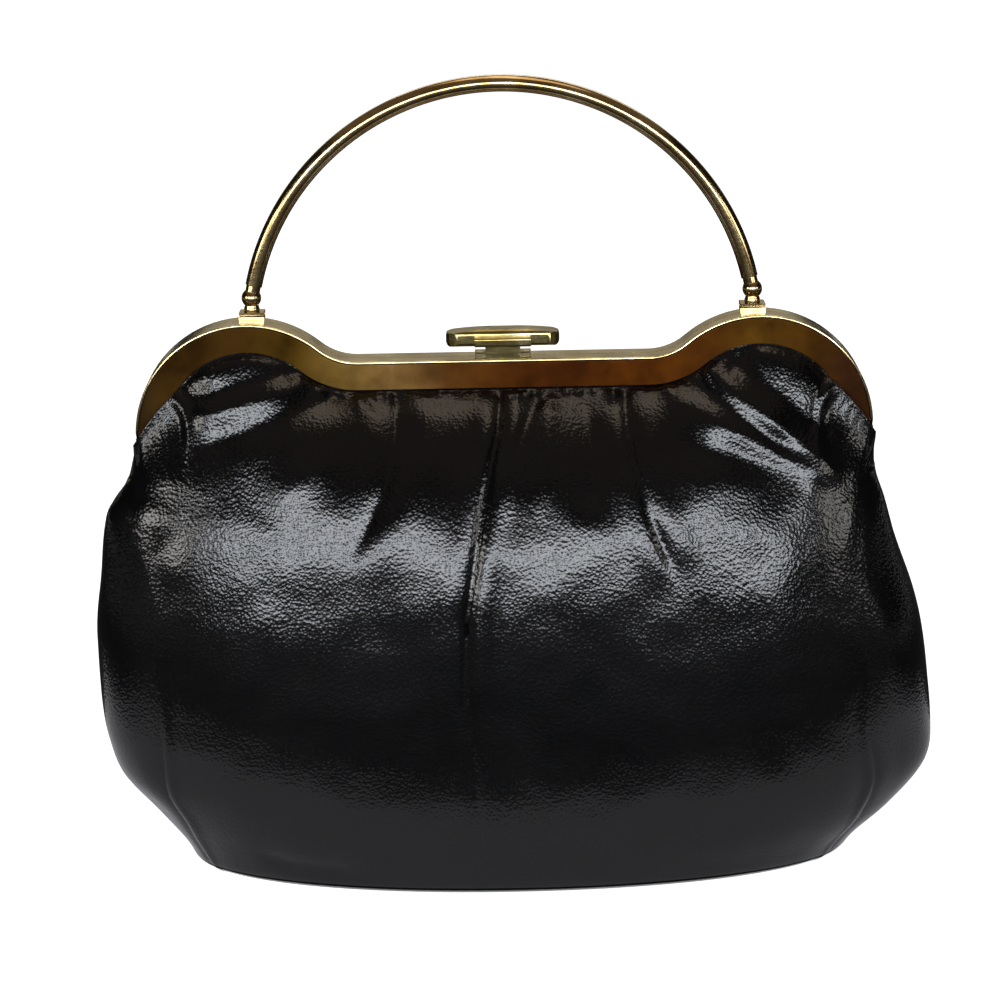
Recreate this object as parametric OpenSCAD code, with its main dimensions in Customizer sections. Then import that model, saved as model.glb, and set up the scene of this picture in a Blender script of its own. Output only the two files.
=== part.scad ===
// Kiss lock frame purse: a soft leather pouch gathered into a double metal frame that opens
// like a mouth, with a bar shaped kiss lock on top and a hinged tube handle.
// The origin is on the ground under the middle of the bag, +Z is up and the front faces -Y.
// The two frame halves turn on one pair of pins along X, at the height hinge_z.

/* [Frame] */
// Width across the outside of the frame
frame_w = 254; // [246:1:262]
// Height of the hinge pins above the ground
hinge_z = 152; // [140:1:165]
// Rise of the frame's straight middle above the hinge
middle_rise = 29.5; // [28:0.5:32]
// Rise of the round shoulders above the hinge
shoulder_rise = 43.3; // [42.5:0.1:45]
// Radius of the round shoulders
shoulder_r = 39; // [37:0.5:40]
// Radius of the hollow between a shoulder and the middle
dip_r = 20; // [15:1:25]
// Depth of one frame half
frame_d = 7.2; // [7:0.1:8.5]
// Thickness of the channel's sheet
channel_t = 0.9; // [0.7:0.05:1]
// Height of the channel's flanges
flange_h = 6.5; // [5.5:0.25:7.5]
// Gap between the closed halves
closing_gap = 0.3; // [0.2:0.05:0.5]
// Height of the wide cover band
band_h = 10; // [9:0.25:11]
// Thickness of the cover band
band_t = 1; // [0.8:0.05:1.1]
// Diameter of the bead along the frame's outer edge
bead_d = 1.1; // [1:0.05:1.3]
// Depth of the band's face behind the bead
band_recess = 0.3; // [0.1:0.05:0.4]

/* [Frame hinge] */
// Radius of a hinge ear
ear_r = 4.6; // [4:0.1:5]
// Thickness of a hinge ear
ear_t = 1.2; // [1:0.1:1.4]
// Distance of the outer ear inside the frame's end
ear_inset = 4.4; // [4:0.1:5]
// Diameter of the hinge pin
pin_d = 2.5; // [2:0.1:3]
// Diameter of the pin's heads and of the washers
pin_head_d = 4.8; // [4.2:0.1:5.4]
// Thickness of a pin head
pin_head_t = 0.9; // [0.7:0.05:1]
// Thickness of the washer between the ears
washer_t = 0.4; // [0.3:0.05:0.6]
// Radial clearance of every pin in its hole
pin_clear = 0.05; // [0.03:0.01:0.08]
// Gap between parts that slide side by side
slide_gap = 0.1; // [0.08:0.01:0.15]

/* [Kiss lock] */
// Length of the lock's top bar
lock_w = 39; // [34:1:44]
// Depth of the top bar
lock_d = 9.2; // [8.4:0.1:10]
// Height of the top bar
lock_h = 5.9; // [5:0.1:6.5]
// Rise of the crown along the top bar
lock_crown = 1.4; // [0.8:0.1:2]
// Height of the top bar's underside above the frame
lock_lift = 4; // [3.6:0.1:5]
// Width of the front catch
catch_w = 19.3; // [17:0.1:24]
// Height of the front catch's head
catch_h = 3.3; // [2.8:0.1:4]
// Thickness of the front catch's head
catch_t = 2.8; // [2.2:0.1:3.2]
// Clear gap between the two lock halves
lock_gap = 0.25; // [0.2:0.05:0.4]
// Thickness of the lock's base plates
lock_plate_t = 0.9; // [0.8:0.05:1.2]
// Diameter of the lock's rivets
lock_rivet_d = 1.6; // [1.4:0.1:1.8]

/* [Handle] */
// Distance of the handle mounts inside the middles of the shoulders
mount_inset = 1.9; // [0.8:0.1:3]
// How much larger the handle's radius is than the mounts' distance from the middle
handle_spread = 1.2; // [0.9:0.1:4]
// Diameter of the handle's tube
tube_d = 5.8; // [5:0.1:6.6]
// Wall of the handle's tube
tube_t = 0.8; // [0.6:0.05:1]
// Width of a handle mount
leaf_w = 8.6; // [8.2:0.1:10]
// Thickness of each leaf of a mount
leaf_t = 1; // [0.8:0.05:1.2]
// Gap between the two leaves
leaf_gap = 0.5; // [0.3:0.05:0.7]
// Radius of the ball under each end of the tube
ball_r = 3.4; // [3:0.1:3.8]
// Height of the ball's centre above the upper leaf
ball_rise = 4.7; // [4.4:0.1:5.4]
// Diameter of the mount's hinge pin
leaf_pin_d = 1; // [0.8:0.05:1.2]
// Radius of the mount's knuckles
knuckle_r = 1.15; // [1.05:0.05:1.3]

/* [Leather pouch] */
// Widest part of the pouch
bag_w = 292.4; // [284:0.4:300]
// Deepest part of the pouch
bag_d = 96; // [90:1:104]
// Width of the pouch at the ground
base_w = 220; // [206:1:230]
// Depth of the pouch at the ground
base_d = 88; // [80:1:94]
// Height of the widest part
belly_z = 46; // [40:1:60]
// Depth of the pouch at the hinge
rim_d = 64.4; // [60:0.4:70]
// Distance of the pouch outside the frame at the hinge
rim_wrap = 3; // [2.6:0.1:4]
// Fullness of the pouch's plan outline
plan_power = 2.4; // [2.3:0.05:2.5]
// Radius of the soft bottom edge
edge_r = 5; // [4:0.5:7]
// Thickness of the leather
leather_t = 1.3; // [1:0.1:1.5]
// Thickness of the lining
lining_t = 0.6; // [0.5:0.05:0.8]
// Gap between the layers
layer_gap = 0.3; // [0.2:0.05:0.35]
// Gap between leather pieces at a seam
seam_gap = 0.3; // [0.2:0.05:0.5]
// Turn of the gusset seams about the middle of the bag, at the widest part
gusset_turn = 37; // [30:1:45]
// Turn of the gusset seams at the ground
gusset_low_turn = 22; // [18:1:30]
// Turn of the gusset seams at the pouch's rim
gusset_top_turn = 12; // [8:1:25]
// Thickness of the stiff board in the base
board_t = 2; // [1.5:0.1:2.2]
// Depth of the lining's edge below the leather rim
lining_drop = 6; // [5:0.5:9]
// Thickness of the gathered leather at the mouth
mouth_t = 1.1; // [0.9:0.05:1.15]
// Gap between the mouth leather's lower edge and the inside of the pouch's rim
swing_gap = 0.5; // [0.4:0.05:0.8]
// Height of the mouth leather's lower edge above the hinge
mouth_lift = 0.3; // [0.2:0.1:0.6]
// Diameter of the cord packed into the channel
cord_d = 1.6; // [1.2:0.1:1.7]

/* [Hidden] */
$fn = 96;

// Outline of the frame: straight middle, hollow, round shoulder, short straight arm
middle_z = hinge_z + middle_rise;
shoulder_x = frame_w / 2 - shoulder_r;
shoulder_z = hinge_z + shoulder_rise - shoulder_r;
dip_z = middle_z + dip_r;
bend = acos((dip_z - shoulder_z) / (shoulder_r + dip_r));
dip_x = shoulder_x - (shoulder_r + dip_r) * sin(bend);
arm_end_z = hinge_z + 1.2;
end_cut = 5.5;
half_gap = closing_gap / 2;
// Clearance of parts that lie against each other
touch_gap = 0.05;
// Depths inside one half, counted forwards from the closing plane
band_front = frame_d - band_recess;
band_back = band_front - band_t;
flange_front = band_back;
flange_back = flange_front - channel_t;
inner_flange = half_gap + channel_t;
channel_mid = (inner_flange + flange_back) / 2;

// Hinge stack along X at the right end, from the outside inwards
outer_ear_x = frame_w / 2 - ear_inset - ear_t;
washer_x = outer_ear_x - slide_gap - washer_t;
inner_ear_x = washer_x - slide_gap - ear_t;
pin_in_x = inner_ear_x - slide_gap - pin_head_t;
pin_out_x = outer_ear_x + ear_t + slide_gap;
ear_clear = 0.4;
plug_z = hinge_z + ear_r + ear_clear + 0.2;
plug_h = 4;

// Lock heights above the ground
plate_top_z = middle_z + lock_plate_t;
bar_low_z = middle_z + lock_lift;
bar_front = lock_d / 2 - half_gap;
plate_w = catch_w;
neck_w = 12;
neck_t = 1.6;
lock_rivet_x = 8;
head_r = lock_rivet_d * 0.8;
head_t = 0.6;
// Clearance of the cord under the rivets' heads
head_clear = 0.25;
// Distance of the lock's base plates inside the two faces of a frame half
plate_inset = 0.9;

// Handle mounts on top of the rear half's shoulders
mount_x = shoulder_x - mount_inset;
handle_r = mount_x + handle_spread;
apex_z = shoulder_z + sqrt(pow(shoulder_r, 2) - pow(mount_x - shoulder_x, 2));
leaf_front = 0.6;
leaf_back = frame_d - 0.1;
leaf_mid = (leaf_front + leaf_back) / 2;
lower_leaf_z = apex_z + leaf_t;
upper_leaf_z = lower_leaf_z + leaf_gap;
leaf_top_z = upper_leaf_z + leaf_t;
knuckle_y = frame_d + knuckle_r + 0.15;
knuckle_z = lower_leaf_z + leaf_gap / 2;
knuckle_w = leaf_w / 3;
ball_z = leaf_top_z + ball_rise;
collar_r = tube_d / 2 - 0.4;
// The tube's end points at the ball's centre from the neck's length away
neck_h = ball_r + 0.95;
handle_z = ball_z - sqrt(pow(handle_r, 2) + pow(neck_h, 2) - pow(mount_x, 2));
tube_start = atan2(ball_z - handle_z, mount_x) + atan(neck_h / handle_r);

// Pouch
pouch_top_z = hinge_z - 0.2;
rim_w = frame_w + 2 * rim_wrap;
ring_step = 5;
wall_rows = 11;
edge_rows = 3;
panel_columns = 11;
gusset_columns = 14;
// Above 1, the rows lie closer together where the wall curves most, near the ground
row_crowding = 1.35;

function belly(z, low, mid, top) = z < belly_z
    ? low + (mid - low) * (1 - pow(1 - z / belly_z, 1.6))
    : mid - (mid - top) * pow((z - belly_z) / (hinge_z - belly_z), 2.3);
function half_w(z) = belly(z, base_w, bag_w, rim_w) / 2;
function half_d(z) = belly(z, base_d, bag_d, rim_d) / 2;
function signed_power(v, p) = sign(v) * pow(abs(v), p);

// Point of a horizontal ring, turned from +X towards the front
function ring_point(turn, a, b, z) = [
    a * signed_power(cos(turn), 2 / plan_power),
    -b * signed_power(sin(turn), 2 / plan_power),
    z];
// Depth of a ring at one x
function ring_depth(x, a, b) = b * pow(1 - pow(abs(x) / a, plan_power), 1 / plan_power);

// Height of a wall row above the soft bottom edge
function row_z(up) = edge_r + (pouch_top_z - edge_r) * pow(up, row_crowding);

// Point of the pouch wall, row by row upwards, at a depth inside the outer face
function wall_point(row, turn, depth) =
    let (
        roll = max(0, 90 * (1 - row / edge_rows)),
        inset = edge_r - (edge_r - depth) * cos(roll),
        z = row_z(max(0, (row - edge_rows) / wall_rows)) - (edge_r - depth) * sin(roll)
    )
    ring_point(turn, half_w(z) - inset, half_d(z) - inset, z);

// Angle that takes up half a seam gap on the ring
half_seam = seam_gap / 2 / (PI * (bag_w + bag_d) / 2 / 360);
// Turn of the gusset seam on a wall row: the gusset narrows upwards and to the ground
seam_power = 4;
function seam_turn(row) =
    let (z = row_z(max(0, (row - edge_rows) / wall_rows)))
    gusset_turn
    - (gusset_turn - gusset_low_turn) * pow(max(0, 1 - z / belly_z), 2)
    - (gusset_turn - gusset_top_turn) * pow(z / pouch_top_z, seam_power);

// Point of the frame's outline, s from 0 at the middle to 1 at the arm, n outwards of it
arm_turn = asin((plug_z + plug_h + 0.5 - shoulder_z) / (shoulder_r - band_h));
run_1 = dip_x;
run_2 = bend * PI / 180 * (dip_r + band_h);
run_3 = (90 + bend - arm_turn) * PI / 180 * (shoulder_r - band_h);
run_all = run_1 + run_2 + run_3;
function outline_point(s, n) = let (side = sign(s), run = abs(s) * run_all)
    run < run_1 ? [side * run, middle_z + n]
    : run < run_1 + run_2
        ? let (t = bend * (run - run_1) / run_2)
            [side * (dip_x + (dip_r - n) * sin(t)), dip_z - (dip_r - n) * cos(t)]
        : let (t = bend - (90 + bend - arm_turn) * (run - run_1 - run_2) / run_3)
            [side * (shoulder_x - (shoulder_r + n) * sin(t)),
                shoulder_z + (shoulder_r + n) * cos(t)];

// Mouth leather: tucked in the channel, then rolled outwards about the hinge line
mouth_front = flange_back - 0.15;
mouth_low = -band_h - 0.4;
tuck_top = -channel_t - 1.3;
mouth_a = rim_w / 2 - leather_t;
mouth_b = rim_d / 2 - leather_t;
mouth_rows = 6;
mouth_columns = 42;
cord_steps = 20;
function mouth_point(row, s, depth) =
    row > mouth_rows
    ? let (p = outline_point(s, tuck_top)) [p[0], depth - mouth_front, p[1]]
    : let (
        p = outline_point(s, mouth_low),
        v = 1 - row / mouth_rows,
        reach = ring_depth(p[0], mouth_a, mouth_b) - swing_gap,
        start = norm([mouth_front, p[1] - hinge_z]),
        first = atan2(mouth_front, p[1] - hinge_z),
        last = acos(mouth_lift / reach),
        turn = first + (last - first) * v,
        r = reach + (start - reach) * pow(1 - v, start > reach ? 6 : 1),
        lean = 40 * sin(180 * v)
    )
    [p[0], -r * sin(turn) + depth * cos(lean), hinge_z + r * cos(turn) - depth * sin(lean)];

// Closed shell between an outer and an inner grid of points, rows upwards, columns
// from right to left as seen from outside
module grid_shell(outer, inner) {
    nr = len(outer) - 1;
    nc = len(outer[0]) - 1;
    count = (nr + 1) * (nc + 1);
    function o(r, c) = r * (nc + 1) + c;
    function i(r, c) = count + o(r, c);
    points = concat([for (row = outer) each row], [for (row = inner) each row]);
    sheets = [for (r = [0:nr - 1], c = [0:nc - 1]) each [
        [o(r, c), o(r, c + 1), o(r + 1, c + 1)], [o(r, c), o(r + 1, c + 1), o(r + 1, c)],
        [i(r, c), i(r + 1, c + 1), i(r, c + 1)], [i(r, c), i(r + 1, c), i(r + 1, c + 1)]]];
    ends = [for (c = [0:nc - 1]) each [
        [o(0, c + 1), o(0, c), i(0, c)], [o(0, c + 1), i(0, c), i(0, c + 1)],
        [o(nr, c), o(nr, c + 1), i(nr, c + 1)], [o(nr, c), i(nr, c + 1), i(nr, c)]]];
    sides = [for (r = [0:nr - 1]) each [
        [o(r, 0), o(r + 1, 0), i(r + 1, 0)], [o(r, 0), i(r + 1, 0), i(r, 0)],
        [o(r + 1, nc), o(r, nc), i(r, nc)], [o(r + 1, nc), i(r, nc), i(r + 1, nc)]]];
    polyhedron(points, concat(sheets, ends, sides), convexity = 6);
}

// Cup with a flat floor between an outer and an inner stack of closed rings
module cup_shell(outer, inner) {
    nr = len(outer) - 1;
    nc = len(outer[0]);
    count = (nr + 1) * nc;
    function o(r, c) = r * nc + c % nc;
    function i(r, c) = count + o(r, c);
    points = concat([for (row = outer) each row], [for (row = inner) each row]);
    sheets = [for (r = [0:nr - 1], c = [0:nc - 1]) each [
        [o(r, c), o(r, c + 1), o(r + 1, c + 1)], [o(r, c), o(r + 1, c + 1), o(r + 1, c)],
        [i(r, c), i(r + 1, c + 1), i(r, c + 1)], [i(r, c), i(r + 1, c), i(r + 1, c + 1)]]];
    rim = [for (c = [0:nc - 1]) each [
        [o(nr, c), o(nr, c + 1), i(nr, c + 1)], [o(nr, c), i(nr, c + 1), i(nr, c)]]];
    floors = [[for (c = [nc - 1:-1:0]) o(0, c)], [for (c = [0:nc - 1]) i(0, c)]];
    polyhedron(points, concat(sheets, rim, floors), convexity = 6);
}

// Solid tube through a list of rings, each counted anticlockwise about the way it runs
module tube_shell(rings) {
    nr = len(rings) - 1;
    nc = len(rings[0]);
    function p(r, c) = r * nc + c % nc;
    sides = [for (r = [0:nr - 1], c = [0:nc - 1]) each [
        [p(r, c), p(r + 1, c), p(r + 1, c + 1)], [p(r, c), p(r + 1, c + 1), p(r, c + 1)]]];
    ends = [[for (c = [0:nc - 1]) p(0, c)], [for (c = [nc - 1:-1:0]) p(nr, c)]];
    polyhedron([for (ring = rings) each ring], concat(sides, ends), convexity = 6);
}

// Runs a profile along the frame's outline. In the profile, x is outwards of the outline
// and y is forwards from the closing plane.
module along_frame() {
    for (side = [0, 1])
        mirror([side, 0, 0]) {
            translate([0, 0, middle_z])
                rotate([180, -90, 0])
                    linear_extrude(dip_x) children();
            translate([dip_x, 0, dip_z])
                rotate([90, 0, 0])
                    rotate_extrude(angle = bend, start = 270, $fn = 180)
                        translate([dip_r, 0]) mirror([1, 0]) children();
            translate([shoulder_x, 0, shoulder_z])
                rotate([90, 0, 0])
                    rotate_extrude(angle = 90 + bend, start = 0, $fn = 180)
                        translate([shoulder_r, 0]) children();
            translate([frame_w / 2, 0, shoulder_z])
                rotate([180, 0, 0])
                    linear_extrude(shoulder_z - arm_end_z) children();
        }
}

// Box between two corners
module span_box(low, high) translate(low) cube(high - low);

// Round bar along X
module x_bar(x, y, z, r, length)
    translate([x, y, z]) rotate([0, 90, 0]) cylinder(r = r, h = length);

// Both ends of the frame: the children are drawn at the right one
module both_ends() for (side = [0, 1]) mirror([side, 0, 0]) children();

// Turns a front piece into the rear one
module to_rear() mirror([0, 1, 0]) children();

// Points of a rounded edge about a centre
function edge_arc(x, y, r, from, to) =
    [for (a = [from:30:to]) [x + r * cos(a), y + r * sin(a)]];

// Channel: bead along the outer edge, top wall, flanges at the front and the closing plane
module channel_profile()
    polygon(concat(
        [[0, half_gap]],
        edge_arc(-bead_d / 2, frame_d - bead_d / 2, bead_d / 2, 0, 180),
        [[-channel_t, frame_d - bead_d / 2], [-channel_t, flange_front],
            [-flange_h, flange_front], [-flange_h, flange_back], [-channel_t, flange_back],
            [-channel_t, inner_flange], [-flange_h, inner_flange], [-flange_h, half_gap]]));

// Wide flat band with a rounded lower edge
module band_profile()
    polygon(concat(
        [[-bead_d - touch_gap, band_back], [-bead_d - touch_gap, band_front]],
        edge_arc(-band_h + band_t / 2, band_front - band_t / 2, band_t / 2, 90, 270)));

// Cut corners at the frame's lower ends, which pass inside the pouch as the frame opens
module end_cuts()
    both_ends()
        translate([frame_w / 2 - flange_h, -frame_d, arm_end_z])
            rotate([45, 0, 0])
                cube([3 * flange_h, end_cut * sqrt(2), end_cut * sqrt(2)], center = true);

// Frame half seen from the front, with its hinge ears in the given layer of the stack
module frame_half(ear_x) {
    difference() {
        union() {
            difference() {
                along_frame() channel_profile();
                end_cuts();
                both_ends()
                    x_bar(frame_w / 2 - band_h - 3, 0, hinge_z, ear_r + ear_clear,
                        band_h + 3 - channel_t - 0.2);
            }
            both_ends() {
                span_box([ear_x, -flange_back - channel_t / 2, plug_z],
                    [frame_w / 2 - channel_t / 2, -half_gap, plug_z + plug_h]);
                span_box([ear_x, -ear_r, hinge_z],
                    [ear_x + ear_t, -half_gap, plug_z + plug_h / 2]);
                x_bar(ear_x, 0, hinge_z, ear_r, ear_t);
            }
        }
        both_ends()
            x_bar(ear_x - 1, 0, hinge_z, pin_d / 2 + pin_clear, ear_t + 2);
        both_ends()
            translate([lock_rivet_x, -channel_mid, middle_z - channel_t - 1])
                cylinder(d = lock_rivet_d + 2 * pin_clear, h = channel_t + 2);
    }
}

module front_frame() color("goldenrod") frame_half(outer_ear_x);

module rear_frame() color("goldenrod")
    difference() {
        to_rear() frame_half(inner_ear_x);
        both_ends()
            translate([mount_x, channel_mid, apex_z - channel_t - 1])
                cylinder(d = lock_rivet_d + 2 * pin_clear, h = channel_t + 2);
    }

module front_cover_band() color("saddlebrown")
    difference() {
        along_frame() band_profile();
        end_cuts();
    }

module rear_cover_band() color("saddlebrown") to_rear() front_cover_band();

// Cord packed into the channel, clear of the rivet heads
module packing_cord() {
    n = -channel_t - head_t - head_clear - cord_d / 2;
    depth = inner_flange + touch_gap + cord_d / 2;
    color("tan") tube_shell([for (c = [-cord_steps:cord_steps])
        [for (a = [0:60:300])
            let (p = outline_point(c / cord_steps, n + cord_d / 2 * cos(a)))
            [p[0], -depth - cord_d / 2 * sin(a), p[1]]]]);
}

module front_packing_cord() packing_cord();

module rear_packing_cord() to_rear() packing_cord();

// Rivet with a round head at its foot and a countersunk head flush with the plate's top
module flush_rivet(x, y, foot_z, top_z) {
    translate([x, y, foot_z]) cylinder(r = head_r, h = head_t);
    translate([x, y, foot_z]) cylinder(d = lock_rivet_d, h = top_z - foot_z);
    translate([x, y, top_z - head_t])
        cylinder(r1 = lock_rivet_d / 2, r2 = head_r, h = head_t);
}

// Countersunk hole for such a rivet, from below a plate up to its top
module flush_hole(x, y, low_z, top_z) {
    translate([x, y, low_z]) cylinder(d = lock_rivet_d + 2 * pin_clear, h = top_z - low_z + 1);
    translate([x, y, top_z - head_t])
        cylinder(r1 = lock_rivet_d / 2 + pin_clear, r2 = head_r + pin_clear, h = head_t);
}

module front_lock_rivets() color("gold")
    both_ends()
        flush_rivet(lock_rivet_x, -channel_mid, middle_z - channel_t - head_t, plate_top_z);

module rear_lock_rivets() color("gold") to_rear() front_lock_rivets();

// Holes for the lock's rivets in a front base plate
module lock_rivet_holes()
    both_ends() flush_hole(lock_rivet_x, -channel_mid, middle_z - 1, plate_top_z);

// Front catch: base plate, neck, head in front of the top bar and a snap bead under it
module front_lock_catch() color("darkkhaki") {
    neck_front = frame_d - plate_inset;
    head_back = bar_front + lock_gap;
    head_z = bar_low_z + 0.3;
    nose_r = 0.9;
    bead_r = 0.7;
    bead_z = bar_low_z - lock_gap - bead_r;
    difference() {
        union() {
            span_box([-plate_w / 2, -neck_front, middle_z], [plate_w / 2, -plate_inset, plate_top_z]);
            span_box([-neck_w / 2, -neck_front, middle_z],
                [neck_w / 2, -neck_front + neck_t, head_z + 0.3]);
            span_box([-neck_w / 2, -neck_front, bead_z - bead_r * 0.7],
                [neck_w / 2, -neck_front + neck_t + 1.4, bead_z + 0.2]);
            x_bar(-neck_w / 2, -neck_front + neck_t + 1.4, bead_z, bead_r, neck_w);
            intersection() {
                span_box([-catch_w / 2, -head_back - catch_t, head_z],
                    [catch_w / 2, -head_back, head_z + catch_h]);
                union() {
                    x_bar(-catch_w / 2, -head_back - catch_t + nose_r, head_z + nose_r,
                        nose_r, catch_w);
                    x_bar(-catch_w / 2, -head_back - catch_t + nose_r,
                        head_z + catch_h - nose_r, nose_r, catch_w);
                    span_box([-catch_w / 2, -head_back - catch_t, head_z + nose_r],
                        [catch_w / 2, -head_back, head_z + catch_h - nose_r]);
                    span_box([-catch_w / 2, -head_back - catch_t + nose_r, head_z],
                        [catch_w / 2, -head_back, head_z + catch_h]);
                }
            }
        }
        lock_rivet_holes();
    }
}

// Outline of a bar: a box of the given size about the middle, from the ground line up, with
// one radius at its upper corners and one at its lower ones
module bar_outline(width, height, low_r, high_r)
    polygon(concat(
        corner_arc(width / 2 - high_r, height - high_r, high_r, 0),
        corner_arc(-width / 2 + high_r, height - high_r, high_r, 90),
        corner_arc(-width / 2 + low_r, low_r, low_r, 180),
        corner_arc(width / 2 - low_r, low_r, low_r, 270)));

function corner_arc(x, y, r, from) =
    [for (a = [from:15:from + 90]) [x + r * cos(a), y + r * sin(a)]];

// Top bar on the rear half: long crowned bar, rounded in all three views, neck and base plate
module rear_lock_bar() color("darkkhaki") {
    crown_r = (pow(lock_w / 2, 2) + pow(lock_crown, 2)) / (2 * lock_crown);
    plan_r = lock_d * 0.46;
    neck_front = 1.2;
    plate_back = frame_d - plate_inset;
    difference() {
        union() {
            span_box([-plate_w / 2, plate_inset, middle_z], [plate_w / 2, plate_back, plate_top_z]);
            span_box([-neck_w / 2, neck_front, middle_z],
                [neck_w / 2, neck_front + neck_t, bar_low_z + 0.5]);
            intersection() {
                translate([0, lock_d / 2, bar_low_z]) rotate([90, 0, 0])
                    linear_extrude(lock_d) bar_outline(lock_w, lock_h, 1.6, 2.6);
                translate([-lock_w / 2, 0, bar_low_z]) rotate([90, 0, 90])
                    linear_extrude(lock_w) bar_outline(lock_d, lock_h, 1.2, 2.2);
                translate([0, -lock_d / 2, bar_low_z])
                    linear_extrude(lock_h) bar_outline(lock_w, lock_d, plan_r, plan_r);
                translate([0, lock_d / 2, bar_low_z + lock_h - crown_r]) rotate([90, 0, 0])
                    cylinder(r = crown_r, h = lock_d, $fn = 720);
            }
        }
        to_rear() lock_rivet_holes();
    }
}

// One hinge pin with two heads, at the right end
module frame_pin() color("gold") {
    x_bar(pin_in_x, 0, hinge_z, pin_d / 2, pin_out_x + pin_head_t - pin_in_x);
    x_bar(pin_in_x, 0, hinge_z, pin_head_d / 2, pin_head_t);
    x_bar(pin_out_x, 0, hinge_z, pin_head_d / 2, pin_head_t);
}

module right_frame_pin() frame_pin();

module left_frame_pin() mirror([1, 0, 0]) frame_pin();

module frame_washers() color("silver")
    both_ends()
        difference() {
            x_bar(washer_x, 0, hinge_z, pin_head_d / 2, washer_t);
            x_bar(washer_x - 1, 0, hinge_z, pin_d / 2 + pin_clear, washer_t + 2);
        }

// Lower leaf of a handle mount, seated on the shoulder, with the two outer knuckles
module handle_bracket() color("goldenrod")
    difference() {
        union() {
            translate([mount_x, 0, 0])
                span_box([-leaf_w / 2, leaf_front, apex_z - leaf_t],
                    [leaf_w / 2, leaf_back, lower_leaf_z]);
            for (side = [-1, 1])
                translate([mount_x + side * (leaf_w - knuckle_w) / 2, 0, 0]) {
                    x_bar(-knuckle_w / 2 + slide_gap / 2, knuckle_y, knuckle_z, knuckle_r,
                        knuckle_w - slide_gap);
                    span_box([-knuckle_w / 2 + slide_gap / 2, leaf_mid, lower_leaf_z - leaf_t],
                        [knuckle_w / 2 - slide_gap / 2, knuckle_y, lower_leaf_z]);
                }
        }
        translate([shoulder_x, 0, shoulder_z]) rotate([90, 0, 0])
            cylinder(r = shoulder_r, h = 4 * frame_d, center = true, $fn = 360);
        x_bar(mount_x - knuckle_w / 2 - slide_gap / 2, knuckle_y, knuckle_z,
            knuckle_r + ear_clear / 2, knuckle_w + slide_gap);
        x_bar(mount_x - leaf_w, knuckle_y, knuckle_z, leaf_pin_d / 2 + pin_clear, 2 * leaf_w);
        flush_hole(mount_x, channel_mid, apex_z - 1, lower_leaf_z);
    }

module right_handle_bracket() handle_bracket();

module left_handle_bracket() mirror([1, 0, 0]) handle_bracket();

// Flush rivets that hold the mounts down on the rear half, where its top is curved
module handle_bracket_rivets() color("gold") {
    curve_drop = 0.15;
    both_ends()
        flush_rivet(mount_x, channel_mid, apex_z - channel_t - head_t - curve_drop, lower_leaf_z);
}

module handle_hinge_pins() color("gold")
    both_ends() x_bar(mount_x - leaf_w / 2, knuckle_y, knuckle_z, leaf_pin_d / 2, leaf_w);

// Upper leaf, with the middle knuckle and the hole for the ball's stud
module handle_leaf() color("goldenrod")
    difference() {
        union() {
            translate([mount_x, 0, 0]) {
                span_box([-leaf_w / 2, leaf_front, upper_leaf_z],
                    [leaf_w / 2, knuckle_y - knuckle_r - ear_clear, leaf_top_z]);
                span_box([-knuckle_w / 2 + slide_gap / 2, leaf_mid, upper_leaf_z],
                    [knuckle_w / 2 - slide_gap / 2, knuckle_y, upper_leaf_z + leaf_t * 0.8]);
            }
            x_bar(mount_x - knuckle_w / 2 + slide_gap / 2, knuckle_y, knuckle_z, knuckle_r,
                knuckle_w - slide_gap);
        }
        x_bar(mount_x - leaf_w, knuckle_y, knuckle_z, leaf_pin_d / 2 + pin_clear, 2 * leaf_w);
        translate([mount_x, leaf_mid, upper_leaf_z - 1])
            cylinder(d = lock_rivet_d + 2 * pin_clear, h = leaf_t + 2);
    }

module right_handle_leaf() handle_leaf();

module left_handle_leaf() mirror([1, 0, 0]) handle_leaf();

// Turned ball with a foot, a collar and a spigot in the tube's end
module handle_ball() color("gold") {
    foot_r = ball_r * 0.8;
    waist_r = ball_r * 0.66;
    foot_h = 0.9;
    spigot_r = tube_d / 2 - tube_t - 0.08;
    spigot_h = 1.5;
    translate([mount_x, leaf_mid, 0]) {
        translate([0, 0, upper_leaf_z]) cylinder(d = lock_rivet_d, h = ball_z - upper_leaf_z);
        translate([0, 0, leaf_top_z]) cylinder(r = foot_r, h = foot_h);
        translate([0, 0, leaf_top_z + foot_h])
            cylinder(r1 = foot_r, r2 = waist_r, h = ball_rise - foot_h - ball_r * 0.6);
        translate([0, 0, ball_z]) sphere(r = ball_r);
        translate([0, 0, ball_z]) rotate([0, -tube_start, 0]) {
            cylinder(r = collar_r, h = neck_h);
            cylinder(r = spigot_r, h = neck_h + spigot_h);
        }
    }
}

module right_handle_ball() handle_ball();

module left_handle_ball() mirror([1, 0, 0]) handle_ball();

module handle_tube() color("goldenrod")
    translate([0, leaf_mid, handle_z])
        rotate([90, 0, 0])
            rotate_extrude(angle = 180 - 2 * tube_start, start = tube_start, $fn = 240)
                translate([handle_r, 0])
                    difference() {
                        circle(d = tube_d, $fn = 48);
                        circle(d = tube_d - 2 * tube_t, $fn = 48);
                    }

// Leather wall of the pouch: each row runs between two turns of its ring
module leather_wall(from, to, columns) {
    function row_points(row, depth) =
        [for (c = [0:columns])
            let (low = from[row] + half_seam, high = to[row] - half_seam)
            wall_point(row, low + (high - low) * c / columns, depth)];
    rows = [0:edge_rows + wall_rows];
    outer = [for (row = rows) row_points(row, 0)];
    inner = [for (row = rows) row_points(row, leather_t)];
    color("dimgray") grid_shell(outer, inner);
}

seams = [for (row = [0:edge_rows + wall_rows]) seam_turn(row)];

module front_right_panel() leather_wall(seams, [for (turn = seams) 90], panel_columns);

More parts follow.
